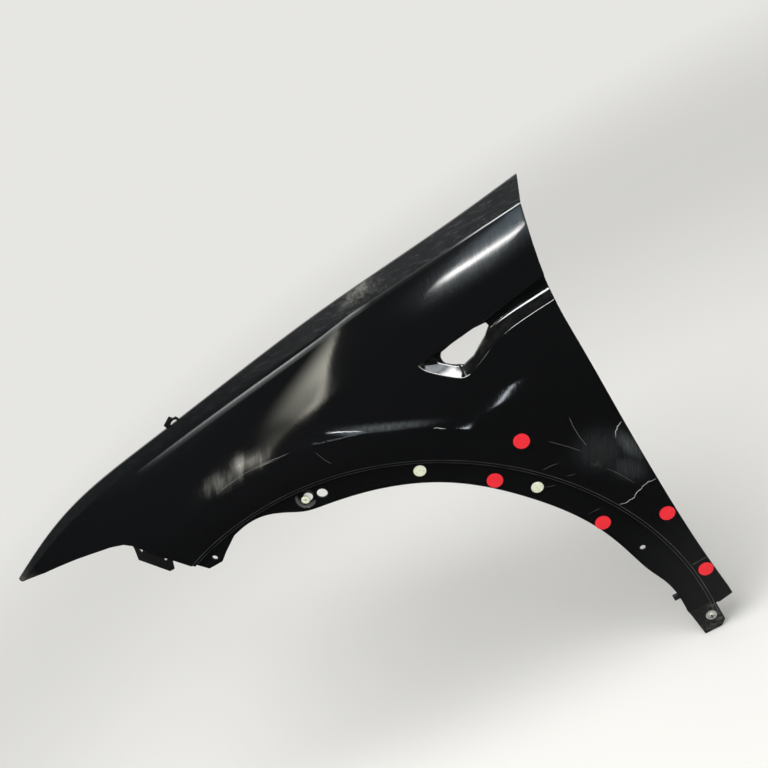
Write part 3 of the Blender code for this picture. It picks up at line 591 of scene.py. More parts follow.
# Moulded pieces on the back of the skin: outlines from the front end of the flange, the loop's
# from the band's edge, and the lug by the foot
moulded = {
    "setBack": 0.0008, "strapWall": 0.0036, "strapRear": 6,
    "strap": ((-0.1620, 0.0484), (-0.1662, 0.0374), (-0.1778, 0.0151), (-0.1397, -0.0182),
              (-0.1280, -0.0152), (-0.1205, -0.0031), (-0.1135, 0.0059), (-0.1169, 0.0084),
              (-0.1316, 0.0026), (-0.1260, 0.0174), (-0.1460, 0.0349), (-0.1595, 0.0276),
              (-0.1570, 0.0444)),
    "loop": ((-0.0115, -0.0046), (-0.0130, 0.0054), (0.0020, 0.0131), (0.0040, 0.0109), (0.0055, 0.0079),
             (0.0105, 0.0079), (0.0125, 0.0044), (0.0125, -0.0026), (0.0095, -0.0026), (0.0093, 0.0029),
             (0.0058, 0.0048), (0.0006, 0.0036), (-0.0040, 0.0009), (-0.0045, -0.0046)),
    "loopAhead": 0.103, "loopWall": 0.003,
    "lug": (-0.0225, 0.073), "lugSize": 0.0070, "lugLength": 0.0105,
    "bevel": 0.0005, "bevelSteps": 3,
}


def mouldedBar(name, loop, near, thick, plastic, *leaning):     # an outline given thickness, edges rounded
    piece = linkPiece(name, prism(name, loop, near, near + thick, *leaning))
    bevel = piece.modifiers.new("edges", "BEVEL")
    bevel.width, bevel.segments, bevel.limit_method = moulded["bevel"], moulded["bevelSteps"], "ANGLE"
    return plain(piece, plastic)


def buildMoulded(plastic):
    strap = fromFlange(moulded["strap"])
    (frontX, frontZ), (rearX, rearZ) = strap[0], strap[moulded["strapRear"]]
    frontY, rearY = float(skinFace(frontX, frontZ)), float(skinFace(rearX, rearZ))
    lean = (rearY - frontY) / (rearX - frontX)
    near, wall = frontY + moulded["setBack"], moulded["strapWall"]
    made = [mouldedBar("bumperStrap", strap, near, wall, plastic, lean, frontX)]
    loopX = archX - moulded["loopAhead"]
    top = float(creaseZ(loopX) + bandRise(loopX))
    loop = [(loopX + x, top + z) for x, z in moulded["loop"]]
    near = float(skinFace(loopX, top)) + moulded["setBack"]
    made.append(mouldedBar("bandLoop", loop, near, moulded["loopWall"], plastic))
    (x, z), size, length = moulded["lug"], moulded["lugSize"], moulded["lugLength"]
    near, half = float(skinFace(x + size, z)) + skin["wall"] / 2, size / 2
    loop = [(x, z - half), (x + length, z - half), (x + length, z + half), (x, z + half)]
    made.append(mouldedBar("footLug", loop, near, size, plastic))
    return made


def turned(name, profile, sides=48):     # a closed profile of (radius, height) turned about Z
    bm, rings = bmesh.new(), []
    for radius, height in profile:
        around = ring(0, 0, radius, sides) if radius else [(0, 0)]
        rings.append([bm.verts.new((*spot, height)) for spot in around])
    for a, b in zip(rings, rings[1:]):
        for i in range(sides):
            j = (i + 1) % sides
            if len(a) == 1:
                bm.faces.new((a[0], b[i], b[j]))
            elif len(b) == 1:
                bm.faces.new((a[i], b[0], a[j]))
            else:
                bm.faces.new((a[i], b[i], b[j], a[j]))
    return outwards(bm, bpy.data.meshes.new(name))


def clipProfile(headRadius, base):     # a dished head with a soft rim, the shank and its barbs
    thick, shank, barb = clips["headThick"], clips["shankRadius"], clips["barbRadius"]
    top, back = base + thick, -skin["wall"] - 2 * skin["clearance"]
    crown = [(radius, top - depth) for radius, depth in clips["dish"]]
    crown += [(headRadius * share, top - thick * depth) for share, depth in clips["rim"]]
    barbs = [(barb * share, back - depth) for share, depth in clips["barbs"]]
    tip = [(radius, rise - clips["length"]) for radius, rise in clips["tip"]]
    return crown + [(shank, base), (shank, back)] + barbs + tip


def seating(x, z):     # the turn and place of a fixing modelled along Z
    reach = clips["shankRadius"] + clips["play"]
    around = [onSkin(x + reach * i, z + reach * j) for i, j in ((1, 0), (-1, 0), (0, 1), (0, -1))]
    normal = skinNormal(x, z)
    side = (Vector((1, 0, 0)) - normal * normal.x).normalized()
    turn = Matrix((side, normal.cross(side), normal)).transposed().to_4x4()
    spot = sum(around, Vector()) / 4 + normal * skin["clearance"]
    return Matrix.Translation(spot) @ turn


def newTree(name, output, **inputs):     # a Geometry Nodes tree with named inputs and one output
    tree = bpy.data.node_groups.new(name, "GeometryNodeTree")
    for key, kind in inputs.items():
        tree.interface.new_socket(key, in_out="INPUT", socket_type="NodeSocket" + kind)
    tree.interface.new_socket(output, in_out="OUTPUT", socket_type="NodeSocketGeometry")
    return tree


def addNode(tree, kind, settings=(), **inputs):
    node = tree.nodes.new(kind)
    for key, value in dict(settings).items():
        setattr(node, key, value)
    for key, value in inputs.items():
        node.inputs[key.replace("_", " ")].default_value = value
    return node


def wire(tree, *links):
    for source, output, target, slot in links:
        tree.links.new(source.outputs[output], target.inputs[slot])


def fixingTree(seed):     # sets one piece on every seat, turned to face out and spun by chance
    tree = newTree("fixingsOnSeats", "Fixings", Seats="Geometry", Piece="Object", Spin="Float",
                   Size="Float", Finish="Material")
    start, end = addNode(tree, "NodeGroupInput"), addNode(tree, "NodeGroupOutput")
    piece = addNode(tree, "GeometryNodeObjectInfo")
    scatter = addNode(tree, "GeometryNodeInstanceOnPoints")
    facing = addNode(tree, "GeometryNodeInputNamedAttribute", {"data_type": "FLOAT_VECTOR"}, Name="facing")
    align = addNode(tree, "FunctionNodeAlignRotationToVector")
    spin = addNode(tree, "FunctionNodeRotateRotation", {"rotation_space": "LOCAL"})
    chance, turn = addNode(tree, "FunctionNodeRandomValue", Seed=seed), addNode(tree, "ShaderNodeCombineXYZ")
    realize = addNode(tree, "GeometryNodeRealizeInstances")
    finish = addNode(tree, "GeometryNodeSetMaterial")
    wire(tree, (start, "Seats", scatter, "Points"), (start, "Piece", piece, "Object"),
         (piece, "Geometry", scatter, "Instance"), (facing, "Attribute", align, "Vector"),
         (start, "Spin", chance, 3), (chance, 1, turn, "Z"),
         (align, "Rotation", spin, "Rotation"), (turn, "Vector", spin, "Rotate By"),
         (spin, "Rotation", scatter, "Rotation"), (start, "Size", scatter, "Scale"),
         (scatter, "Instances", realize, "Geometry"), (realize, "Geometry", finish, "Geometry"),
         (start, "Finish", finish, "Material"), (finish, "Geometry", end, "Fixings"))
    return tree


def giveTree(piece, tree, values):
    modifier = piece.modifiers.new("nodes", "NODES")
    modifier.node_group = tree
    for item in tree.interface.items_tree:
        if item.item_type == "SOCKET" and item.in_out == "INPUT" and item.name in values:
            modifier[item.identifier] = values[item.name]


def seatedByTree(name, seats, master, tree, material, size=1.0):
    mesh = bpy.data.meshes.new(name)
    mesh.from_pydata([spot for spot, _ in seats], [], [])
    facing = mesh.attributes.new("facing", "FLOAT_VECTOR", "POINT")
    for i, (_, way) in enumerate(seats):
        facing.data[i].vector = way
    piece = linkPiece(name, mesh)
    giveTree(piece, tree, {"Piece": master, "Spin": clips["spin"], "Size": size, "Finish": material})
    return plain(piece)


def buildClips(cream):
    tree = fixingTree(seed=7)
    master = linkPiece("clipMaster", turned("clipMaster", clipProfile(clips["headRadius"], 0)))
    made = []
    for index in (1, 2):
        place = seating(*clipPlace(index))
        seat = (place.translation, place.to_3x3() @ Vector((0, 0, 1)))
        made.append(seatedByTree(f"trimClip{index + 1}", [seat], master, tree, cream))
    bpy.data.objects.remove(master)
    lifted = turned("trimClip1", clipProfile(clips["raisedRadius"], clips["raisedBy"]))
    rim = [(clips["collarRadius"] - inwards, height) for inwards, height in clips["collar"]]
    collar = turned("collar", [(0, rim[0][1])] + rim + [(0, rim[-1][1])])
    collar.transform(Matrix.Translation((*clips["collarShift"], 0)))
    parts = [len(lifted.vertices), len(collar.vertices)]
    bm = bmesh.new()
    bm.from_mesh(lifted)
    bm.from_mesh(collar)
    bm.to_mesh(lifted)
    bm.free()
    addMark(lifted, "bright", np.repeat([0, 1], parts))
    away = np.array([v.co.xy.length for v in lifted.vertices]) / clips["raisedRadius"]
    # painted shade: the pin hole in the middle and the rim of the lifted head are painted dark
    shadedSpots = (away < 0.20) | ((away > 0.93) & (np.arange(sum(parts)) < parts[0]))
    addMark(lifted, "grime", shadedSpots * 0.8)
    lifted.transform(seating(*clipPlace(0)))
    smoothed(lifted)
    lifted.materials.append(cream)
    made.insert(0, linkPiece("trimClip1", lifted))
    return made


def buildScrew(steel):
    r, w, washer, shank = (screw[k] for k in ("headRadius", "washerRadius", "washerThick", "shankRadius"))
    top, back = washer + screw["headThick"], -screw["length"]
    profile = [(0, top)] + [(r * share, top - depth) for share, depth in screw["headRim"]]
    profile += [(r, washer + 0.0002), (r + 0.0003, washer)]
    profile += [(w * share, washer * height) for share, height in screw["washerRim"]]
    profile += [(w * 0.99, 0.0001), (w * 0.97, 0), (shank, 0)]
    pitch = screw["threadPitch"]
    for i in range(screw["threadTurns"]):     # a plain run of ridges stands for the thread
        z = -skin["wall"] - (i + 1) * pitch
        profile += [(shank, z + pitch * 0.4), (shank * 0.86, z), (shank, z - pitch * 0.4)]
    profile += [(shank * 0.5, back), (0, back)]
    body = linkPiece("footScrew", turned("footScrew", profile))
    reach, half = screw["crossLength"] / 2, screw["crossWidth"] / 2
    cross = [(-reach, -half), (-half, -half), (-half, -reach), (half, -reach), (half, -half),
             (reach, -half), (reach, half), (half, half), (half, reach), (-half, reach),
             (-half, half), (-reach, half)]
    recess = prism("crossRecess", cross, top - screw["crossDepth"], top + screw["crossDepth"])
    recess.transform(Matrix.Rotation(math.radians(90), 4, "X"))
    tool = linkPiece("crossRecess", recess)
    cut = body.modifiers.new("cross", "BOOLEAN")
    cut.operation, cut.solver, cut.object = "DIFFERENCE", "EXACT", tool
    piece = plain(body, steel)
    bpy.data.objects.remove(tool)
    # painted shade: the walls and floor of the cross recess are painted dark
    sunk = [0 < v.co.z < top - 0.0005 and v.co.xy.length < reach * 1.1 for v in piece.data.vertices]
    addMark(piece.data, "grime", sunk)
    piece.data.transform(seating(screw["x"], screw["z"]))
    return piece


# Round paper stickers, as (angle, distance outside the arch edge) and (height, distance to the door edge)
stickers = {
    "across": 0.0115, "upright": 0.0121, "thick": 0.0004, "curl": 0.0002, "sides": 64,
    "onArch": ((45.9, 0.0423), (48.7, -0.0306), (25.4, -0.0382)),
    "byDoor": ((0.2332, 0.0138), (0.1066, 0.0116)),
}


def buildSticker(index, x, z, paper):
    normal, sides = skinNormal(x, z), stickers["sides"]
    rings = (0.0, 0.2, 0.4, 0.6, 0.8, 0.92, 0.98, 1.0)
    wide, high = stickers["across"], stickers["upright"] * abs(normal.y)
    side = [(x, z)] + [(x + wide * share * a, z + high * share * b)
                       for share in rings[1:] for a, b in ring(0, 0, 1, sides)]
    curl, thick = stickers["curl"], stickers["thick"] - stickers["curl"]
    base = [onSkin(a, b) + normal * (skin["clearance"] + curl * noise.noise((a * 90, b * 90, index))**2)
            for a, b in side]
    count, outer = len(base), 1 + (len(rings) - 2) * sides
    top = [spot + normal * thick * (0.75 if i >= outer else 1) for i, spot in enumerate(base)]
    faces = []
    for k in range(len(rings) - 1):
        for i in range(sides):
            j = (i + 1) % sides
            c, d = 1 + k * sides + j, 1 + k * sides + i
            if k == 0:
                faces += [(0, c, d), (count, count + d, count + c)]
            else:
                a, b = c - sides, d - sides
                faces += [(b, a, c, d), (count + d, count + c, count + a, count + b)]
    for i in range(sides):
        a, b = outer + i, outer + (i + 1) % sides
        faces.append((a, b, count + b, count + a))
    name = f"sticker{index + 1}"
    mesh = closedMesh(name, base + top, faces)
    smoothed(mesh)
    mesh.materials.append(paper)
    return linkPiece(name, mesh)


# Cracks and scratches: each a width and a path over the side view. The second white line is a painted
# highlight along the dent's fold
damage = {
    "whitenedAndHighlight": (
        (0.00036, ((-0.0179, 0.2883), (-0.0100, 0.2852), (-0.0025, 0.2836), (0.0015, 0.2857),
                   (0.0084, 0.2863), (0.0125, 0.2899), (0.0208, 0.2920), (0.0242, 0.2950),
                   (0.0323, 0.2962), (0.0360, 0.2978), (0.0404, 0.2965), (0.0497, 0.2960))),
        # a painted highlight along the dent's fold, drawn as a white line
        (0.00040, ((0.0307, 0.3904), (0.0337, 0.3979), (0.0401, 0.4051), (0.0480, 0.4082))),
        (0.00035, ((-0.1705, 0.5455), (-0.1630, 0.5397), (-0.1565, 0.5347)))),
    "grey": (
        (0.00030, ((0.0244, 0.1251), (0.0400, 0.1262), (0.0522, 0.1261))),
        (0.00045, ((-0.0085, 0.4557), (-0.0105, 0.4401), (-0.0109, 0.4213), (-0.0091, 0.4018))),
        (0.00022, ((-0.0497, 0.4386), (-0.0389, 0.4248), (-0.0293, 0.4132), (-0.0196, 0.3990))),
        (0.00022, ((-0.0031, 0.3535), (0.0089, 0.3330), (0.0192, 0.3085))),
        (0.00018, ((-0.0785, 0.4022), (-0.0668, 0.4020), (-0.0554, 0.3996))),
        (0.00016, ((-0.0901, 0.3703), (-0.0755, 0.3643))),
        (0.00016, ((-0.0559, 0.3744), (-0.0438, 0.3700))),
        (0.00016, ((-0.3264, 0.5997), (-0.3207, 0.5838), (-0.3157, 0.5740))),
        (0.00018, ((-0.0604, 0.2933), (-0.0412, 0.2926))),
        (0.00038, ((-0.4846, 0.6138), (-0.4705, 0.6162), (-0.4572, 0.6176), (-0.4367, 0.6195),
                   (-0.4157, 0.6199), (-0.3923, 0.6190), (-0.3721, 0.6162), (-0.3579, 0.6148)))),
    "step": 0.0026, "wander": 0.0012, "greyWander": 0.00012,
    "rimWidth": 0.00050, "rimTo": -0.088, "pathStep": 0.003, "thinEnd": 0.25, "sunk": 0.2,
    "whiteLevel": 0.80, "greyLevel": 0.16,
}


def scratchTree(seed):     # fine raised lines along paths, thinning to their ends
    tree = newTree("scratchLines", "Lines", Paths="Geometry", Step="Float", Wander="Float",
                   Finish="Material")
    start, end = addNode(tree, "NodeGroupInput"), addNode(tree, "NodeGroupOutput")
    curve = addNode(tree, "GeometryNodeMeshToCurve")
    resample = addNode(tree, "GeometryNodeResampleCurve", {"mode": "LENGTH"})
    ragged = addNode(tree, "GeometryNodeSetPosition")
    chance = addNode(tree, "FunctionNodeRandomValue", {"data_type": "FLOAT_VECTOR"}, Seed=seed)
    low, high = (addNode(tree, "ShaderNodeVectorMath", {"operation": "SCALE"}) for _ in range(2))
    low.inputs[0].default_value, high.inputs[0].default_value = (-1, 0, -1), (1, 0, 1)
    along, taper = addNode(tree, "GeometryNodeSplineParameter"), addNode(tree, "ShaderNodeFloatCurve")
    points, thinEnd = taper.mapping.curves[0].points, damage["thinEnd"]
    points[0].location, points[1].location = (0, thinEnd), (1, thinEnd)
    points.new(0.3, 1)
    points.new(0.7, 1)
    width = addNode(tree, "GeometryNodeInputNamedAttribute", Name="width")
    times = addNode(tree, "ShaderNodeMath", {"operation": "MULTIPLY"})
    thin = addNode(tree, "GeometryNodeSetCurveRadius")
    shape = addNode(tree, "GeometryNodeCurvePrimitiveCircle", Resolution=6, Radius=1)
    sweep = addNode(tree, "GeometryNodeCurveToMesh", Fill_Caps=True)
    realize = addNode(tree, "GeometryNodeRealizeInstances")
    finish = addNode(tree, "GeometryNodeSetMaterial")
    wire(tree, (start, "Paths", curve, "Mesh"), (curve, "Curve", resample, "Curve"),
         (start, "Step", resample, "Length"), (resample, "Curve", ragged, "Geometry"),
         (start, "Wander", low, "Scale"), (start, "Wander", high, "Scale"),
         (low, "Vector", chance, 0), (high, "Vector", chance, 1), (chance, 0, ragged, "Offset"),
         (ragged, "Geometry", thin, "Curve"), (along, "Factor", taper, "Value"),
         (width, "Attribute", times, 0), (taper, "Value", times, 1), (times, "Value", thin, "Radius"),
         (thin, "Curve", sweep, "Curve"), (shape, "Curve", sweep, "Profile Curve"),
         (sweep, "Mesh", realize, "Geometry"), (realize, "Geometry", finish, "Geometry"),
         (start, "Finish", finish, "Material"), (finish, "Geometry", end, "Lines"))
    if "Scale" in sweep.inputs:
        wire(tree, (times, "Value", sweep, "Scale"))
    return tree


def buildLines(name, paths, material, step, wander, seed):
    points, edges, widths = [], [], []
    for width, path in paths:
        run = evenly(path, damage["pathStep"])
        first = len(points)
        points += [onSkin(x, z) - skinNormal(x, z, 0.001) * width * damage["sunk"] for x, z in run]
        edges += [(first + i, first + i + 1) for i in range(len(run) - 1)]
        widths += [width] * len(run)
    mesh = bpy.data.meshes.new(name)
    mesh.from_pydata(points, edges, [])
    addMark(mesh, "width", widths)
    piece = linkPiece(name, mesh)
    giveTree(piece, scratchTree(seed), {"Step": step, "Wander": wander, "Finish": material})
    return plain(piece)


# Finishes
def newFinish(name, colour, roughness, metallic=0.0):
    material = bpy.data.materials.new(name)
    material.use_nodes = True
    shader = material.node_tree.nodes["Principled BSDF"]
    shader.inputs["Base Color"].default_value = (*colour, 1)
    shader.inputs["Roughness"].default_value = roughness
    shader.inputs["Metallic"].default_value = metallic
    return material, material.node_tree, shader


def cloud(tree, scale, detail, stretch=(1, 1, 1), lean=0, rough=0.6):
    place = addNode(tree, "ShaderNodeTexCoord")
    move = addNode(tree, "ShaderNodeMapping", {"vector_type": "TEXTURE"}, Scale=stretch,
                   Rotation=(0, math.radians(lean), 0))
    spots = addNode(tree, "ShaderNodeTexNoise", Scale=scale, Detail=detail, Roughness=rough)
    wire(tree, (place, "Object", move, "Vector"), (move, "Vector", spots, "Vector"))
    return spots.outputs["Fac"]


def spread(tree, value, low, high, toLow=0.0, toHigh=1.0):     # an eased ramp from low to high
    node = addNode(tree, "ShaderNodeMapRange", {"clamp": True, "interpolation_type": "SMOOTHSTEP"},
                   From_Min=low, From_Max=high, To_Min=toLow, To_Max=toHigh)
    tree.links.new(value, node.inputs["Value"])
    return node.outputs["Result"]


def pattern(tree, scale, detail, low, high, *more):     # a cloud made 0 below low and 1 above high
    return spread(tree, cloud(tree, scale, detail, *more), low, high)


def sums(tree, operation, a, b):
    node = addNode(tree, "ShaderNodeMath", {"operation": operation, "use_clamp": operation == "ADD"})
    for slot, value in zip(node.inputs, (a, b)):
        if isinstance(value, (int, float)):
            slot.default_value = value
        else:
            tree.links.new(value, slot)
    return node.outputs["Value"]


def times(tree, a, b):
    return sums(tree, "MULTIPLY", a, b)


def painted(tree, factor, under, over):     # over laid on under where factor is 1
    node = addNode(tree, "ShaderNodeMix", {"data_type": "RGBA"})
    tree.links.new(factor, node.inputs["Factor"])
    for slot, value in ((node.inputs[6], under), (node.inputs[7], over)):
        if isinstance(value, tuple):
            slot.default_value = (*value, 1)
        else:
            tree.links.new(value, slot)
    return node.outputs[2]


def mark(tree, name):
    return addNode(tree, "ShaderNodeAttribute", {"attribute_name": name}).outputs["Fac"]


def dress(tree, shader, colour, rough, height=None, strength=0.2, distance=0.0001):     # last links
    tree.links.new(colour, shader.inputs["Base Color"])
    tree.links.new(rough, shader.inputs["Roughness"])
    if height:
        bump = addNode(tree, "ShaderNodeBump", Strength=strength, Distance=distance)
        tree.links.new(height, bump.inputs["Height"])
        wire(tree, (bump, "Normal", shader, "Normal"))


paint = {
    "black": (0.0040, 0.0042, 0.0046), "dust": (0.46, 0.45, 0.40), "bandGrey": (0.0075, 0.0078, 0.0080),
    # Some of these colours are painted highlights: the light grey of the fold line and of the step edges,
    # and the bluish grey that is both the dent's scuff haze and a painted sheen along highlights
    "bandDust": (0.13, 0.14, 0.145), "worn": (0.115, 0.11, 0.09), "hazeAndSheen": (0.105, 0.118, 0.122),
    "back": (0.011, 0.011, 0.012), "crease": (0.27, 0.28, 0.28),
    "stepEdge": (0.17, 0.17, 0.175), "gloss": 0.05, "dusty": 0.45, "backRough": 0.48,
    "glintStart": (-0.0010, 0.0002), "glintFade": (0.0003, 0.0024, 1, 0.30), "glintEnd": (0.0020, 0.0060, 1, 0),
    "marks": ("band", "crease", "creaseDown", "scuff", "smear", "dent", "combed", "dull", "nose", "shelf",
              "foot", "stepEdge", "back"),
    "patterns": {     # scale, detail, dark below, light above, stretch, lean in degrees, roughness
        "strokes": (95, 4, 0.40, 0.72, (6, 6, 1), -67, 0.6),
        "swirls": (500, 3, 0.45, 0.75, (16, 16, 1), -67, 0.7),
        "hairs": (420, 5, 0.44, 0.80, (18, 3, 1), 4, 0.75),
        "grain": (420, 3, 0.52, 0.75), "blotch": (30, 6, 0.38, 0.72, (1, 1, 1), 0, 0.7),
        "specks": (900, 2, 0.69, 0.76)},
}


def blackPaint():
    material, tree, shader = newFinish("glossBlackPaint", paint["black"], paint["gloss"])
    band, crease, down, scuff, smear, dent, combed, dull, nose, shelf, foot, stepEdge, back = (
        mark(tree, name) for name in paint["marks"])
    strokes, swirls, hairs, grain, blotch, specks = (
        pattern(tree, *values) for values in paint["patterns"].values())
    by, plus = (lambda a, b: times(tree, a, b)), (lambda a, b: sums(tree, "ADD", a, b))
    onBand = by(band, plus(by(hairs, 0.70), by(blotch, 0.10)))
    onSmear = by(smear, plus(0.08, by(strokes, 0.50)))
    onSmear = plus(onSmear, by(sums(tree, "POWER", smear, 4.0), plus(0.12, by(blotch, 0.16))))
    onScuff = by(scuff, plus(by(blotch, 0.45), by(grain, 0.25)))
    onFoot = by(foot, plus(plus(0.03, by(by(blotch, grain), 1.1)), by(specks, 0.6)))
    onDent = by(dent, plus(0.50, by(swirls, 0.50)))
    onSwirlSheen = by(combed, plus(0.50, by(swirls, 0.50)))
    colour = painted(tree, band, paint["black"], paint["bandGrey"])
    colour = painted(tree, by(onBand, 0.22), colour, paint["bandDust"])
    # the dent's scuff haze, and a painted highlight sheen of fine swirl scratches along the shoulder and the
    # brow
    colour = painted(tree, plus(by(onDent, 0.75), onSwirlSheen), colour, paint["hazeAndSheen"])
    # painted highlight: a light line along the band's fold, eased in below it and faded out further down
    creaseGlint = by(spread(tree, down, *paint["glintStart"]), spread(tree, down, *paint["glintFade"]))
    creaseGlint = by(by(creaseGlint, spread(tree, down, *paint["glintEnd"])), crease)
    colour = painted(tree, by(creaseGlint, plus(0.72, by(swirls, 0.28))), colour, paint["crease"])
    # painted highlights on the steps round the arch and on the rim of the clip's pocket
    colour = painted(tree, by(stepEdge, plus(0.62, by(blotch, 0.50))), colour, paint["stepEdge"])
    colour = painted(tree, by(nose, plus(0.45, by(grain, 0.5))), colour, paint["worn"])
    dusty = plus(plus(onSmear, onScuff), plus(onFoot, by(specks, 0.05)))
    colour = painted(tree, by(dusty, 0.75), colour, paint["dust"])
    colour = painted(tree, by(shelf, by(blotch, 0.06)), colour, paint["dust"])
    rawBack = painted(tree, by(blotch, 0.10), paint["back"], paint["bandDust"])
    colour = painted(tree, back, colour, rawBack)
    rough = spread(tree, plus(dusty, by(onDent, 0.8)), 0, 1, paint["gloss"], paint["dusty"])
    rough = plus(rough, by(dull, 0.05))
    rough = plus(rough, by(back, spread(tree, grain, 0, 1, paint["backRough"] - 0.06, paint["backRough"])))
    rough = plus(rough, by(band, spread(tree, plus(by(blotch, 0.3), hairs), 0, 1, 0.16, 0.30)))
    tree.links.new(spread(tree, dull, 0, 1, 0.5, 0.09), shader.inputs["Specular IOR Level"])
    height = plus(plus(by(smear, strokes), by(band, hairs)), plus(by(swirls, 0.12), by(back, grain)))
    dress(tree, shader, colour, rough, height, 0.20, 0.00012)
    return material


# Cream plastic; its darkest colour is painted shade in the clip's pin hole and round its lifted head
creamLook = {
    "base": (0.78, 0.80, 0.62), "gloss": 0.42, "clean": (0.84, 0.88, 0.68), "stained": (0.66, 0.66, 0.48),
    "bright": (0.92, 0.93, 0.90), "dust": (0.20, 0.18, 0.14), "grime": (0.06, 0.065, 0.05),
    "rough": (0.36, 0.58),
}


def creamPlastic():
    look = creamLook
    material, tree, shader = newFinish("creamPlastic", look["base"], look["gloss"])
    stains, dust = pattern(tree, 260, 5, 0.45, 0.80), pattern(tree, 120, 4, 0.55, 0.85)
    colour = painted(tree, stains, look["clean"], look["stained"])
    colour = painted(tree, mark(tree, "bright"), colour, look["bright"])
    colour = painted(tree, times(tree, dust, 0.6), colour, look["dust"])
    # painted shade: the pin hole and the rim of the lifted head, painted dark
    colour = painted(tree, mark(tree, "grime"), colour, look["grime"])
    dress(tree, shader, colour, spread(tree, stains, 0, 1, *look["rough"]), cloud(tree, 1500, 2), 0.15)
    return material


# Zinc plated steel; its darkest colour is painted shade in the screw's cross recess
zincLook = {
    "base": (0.62, 0.62, 0.60), "gloss": 0.42, "metallic": 0.45, "clean": (0.74, 0.75, 0.70),
    "dull": (0.42, 0.42, 0.38), "grime": (0.03, 0.032, 0.028), "rough": (0.28, 0.50),
}


def zincSteel():
    look = zincLook
    material, tree, shader = newFinish("zincSteel", look["base"], look["gloss"], look["metallic"])
    dull = pattern(tree, 500, 5, 0.35, 0.75)
    colour = painted(tree, dull, look["clean"], look["dull"])
    # painted shade in the cross recess
    colour = painted(tree, times(tree, mark(tree, "grime"), 0.94), colour, look["grime"])
    dress(tree, shader, colour, spread(tree, dull, 0, 1, *look["rough"]), cloud(tree, 1800, 3))
    return material


paperLook = {
    "base": (0.85, 0.02, 0.03), "gloss": 0.55, "shine": 0.25, "clean": (0.93, 0.018, 0.034),
    "fibre": (0.70, 0.010, 0.02), "faded": (0.97, 0.045, 0.06), "rough": (0.48, 0.66),
}


def redPaper():
    look = paperLook
    material, tree, shader = newFinish("redPaper", look["base"], look["gloss"])
    shader.inputs["Specular IOR Level"].default_value = look["shine"]
    fibre = pattern(tree, 1400, 4, 0.30, 0.75, (2.5, 1, 1))
    faded = pattern(tree, 90, 3, 0.35, 0.75)
    colour = painted(tree, times(tree, fibre, 0.25), look["clean"], look["fibre"])
    colour = painted(tree, times(tree, faded, 0.25), colour, look["faded"])
    dress(tree, shader, colour, spread(tree, fibre, 0, 1, *look["rough"]), fibre, 0.2, 0.00008)
    return material


plasticLook = {
    "base": (0.010, 0.010, 0.011), "gloss": 0.38, "shine": 0.25, "clean": (0.009, 0.009, 0.010),
    "dust": (0.16, 0.155, 0.14), "rough": (0.30, 0.50),
}


def darkPlastic():
    look = plasticLook
    material, tree, shader = newFinish("mouldedBlack", look["base"], look["gloss"])
    shader.inputs["Specular IOR Level"].default_value = look["shine"]
    grain, dust = cloud(tree, 1100, 4), pattern(tree, 160, 5, 0.50, 0.80)
    colour = painted(tree, times(tree, dust, 0.12), look["clean"], look["dust"])
    dress(tree, shader, colour, spread(tree, grain, 0.3, 0.7, *look["rough"]), grain, 0.25)
    return material


def stressWhite(name, level):     # broken up, and a little yellow
    material, tree, shader = newFinish(name, (level, level, level * 0.98), 0.6)
    broken, dim = pattern(tree, 700, 4, 0.35, 0.65), level * 0.45
    colour = painted(tree, broken, (dim, dim, dim), (level, level, level * 0.97))
    dress(tree, shader, colour, spread(tree, broken, 0, 1, 0.5, 0.7))
    return material


print("finishes")
black, cream, steel, red = blackPaint(), creamPlastic(), zincSteel(), redPaper()
# the white of the crack lines also paints the dent's highlight line
moulding, whitenedAndHighlight = darkPlastic(), stressWhite("whitenedCrack", damage["whiteLevel"])
# the white of the painted highlight along the vent's ledge
rubbedRim = stressWhite("rubbedRim", damage["whiteLevel"])
faint = stressWhite("greyScratch", damage["greyLevel"])

print("skin")
panel = buildSkin("fenderSkin", black)
print("moulded pieces")
mouldedPieces = buildMoulded(moulding)
print("fixings")
clipPieces = buildClips(cream)
screwPiece = buildScrew(steel)
print("stickers")
spots = [archPoint(math.radians(a), out) for a, out in stickers["onArch"]]
spots += [(float(doorX(height)) - inset, height) for height, inset in stickers["byDoor"]]
stickerPieces = [buildSticker(i, x, z, red) for i, (x, z) in enumerate(spots)]

print("damage")
step = damage["step"]
# a painted highlight: a white line along the front part of the vent's lower edge
ledgeRim = [(damage["rimWidth"], [place for place in ventBottom if place[0] < damage["rimTo"]])]
marksOnPaint = [buildLines("cracks", damage["whitenedAndHighlight"], whitenedAndHighlight, step, damage["wander"], 3),
                buildLines("ledgeRim", ledgeRim, rubbedRim, step, damage["greyWander"], 5),
                buildLines("scratches", damage["grey"], faint, step, damage["greyWander"], 11)]

for piece in [panel] + mouldedPieces + marksOnPaint:
    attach(piece, "root")
    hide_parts("fender_panel")
for index, piece in enumerate(clipPieces):
    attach(piece, "root")
    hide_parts(f"trim_clip_{index + 1}")
for index, piece in enumerate(stickerPieces):
    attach(piece, "root")
    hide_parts(f"marker_dot_{index + 1}")
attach(screwPiece, "root")
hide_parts("foot_screw")


def flat(height, *corners):
    return [(x, y, height) for x, y in corners]


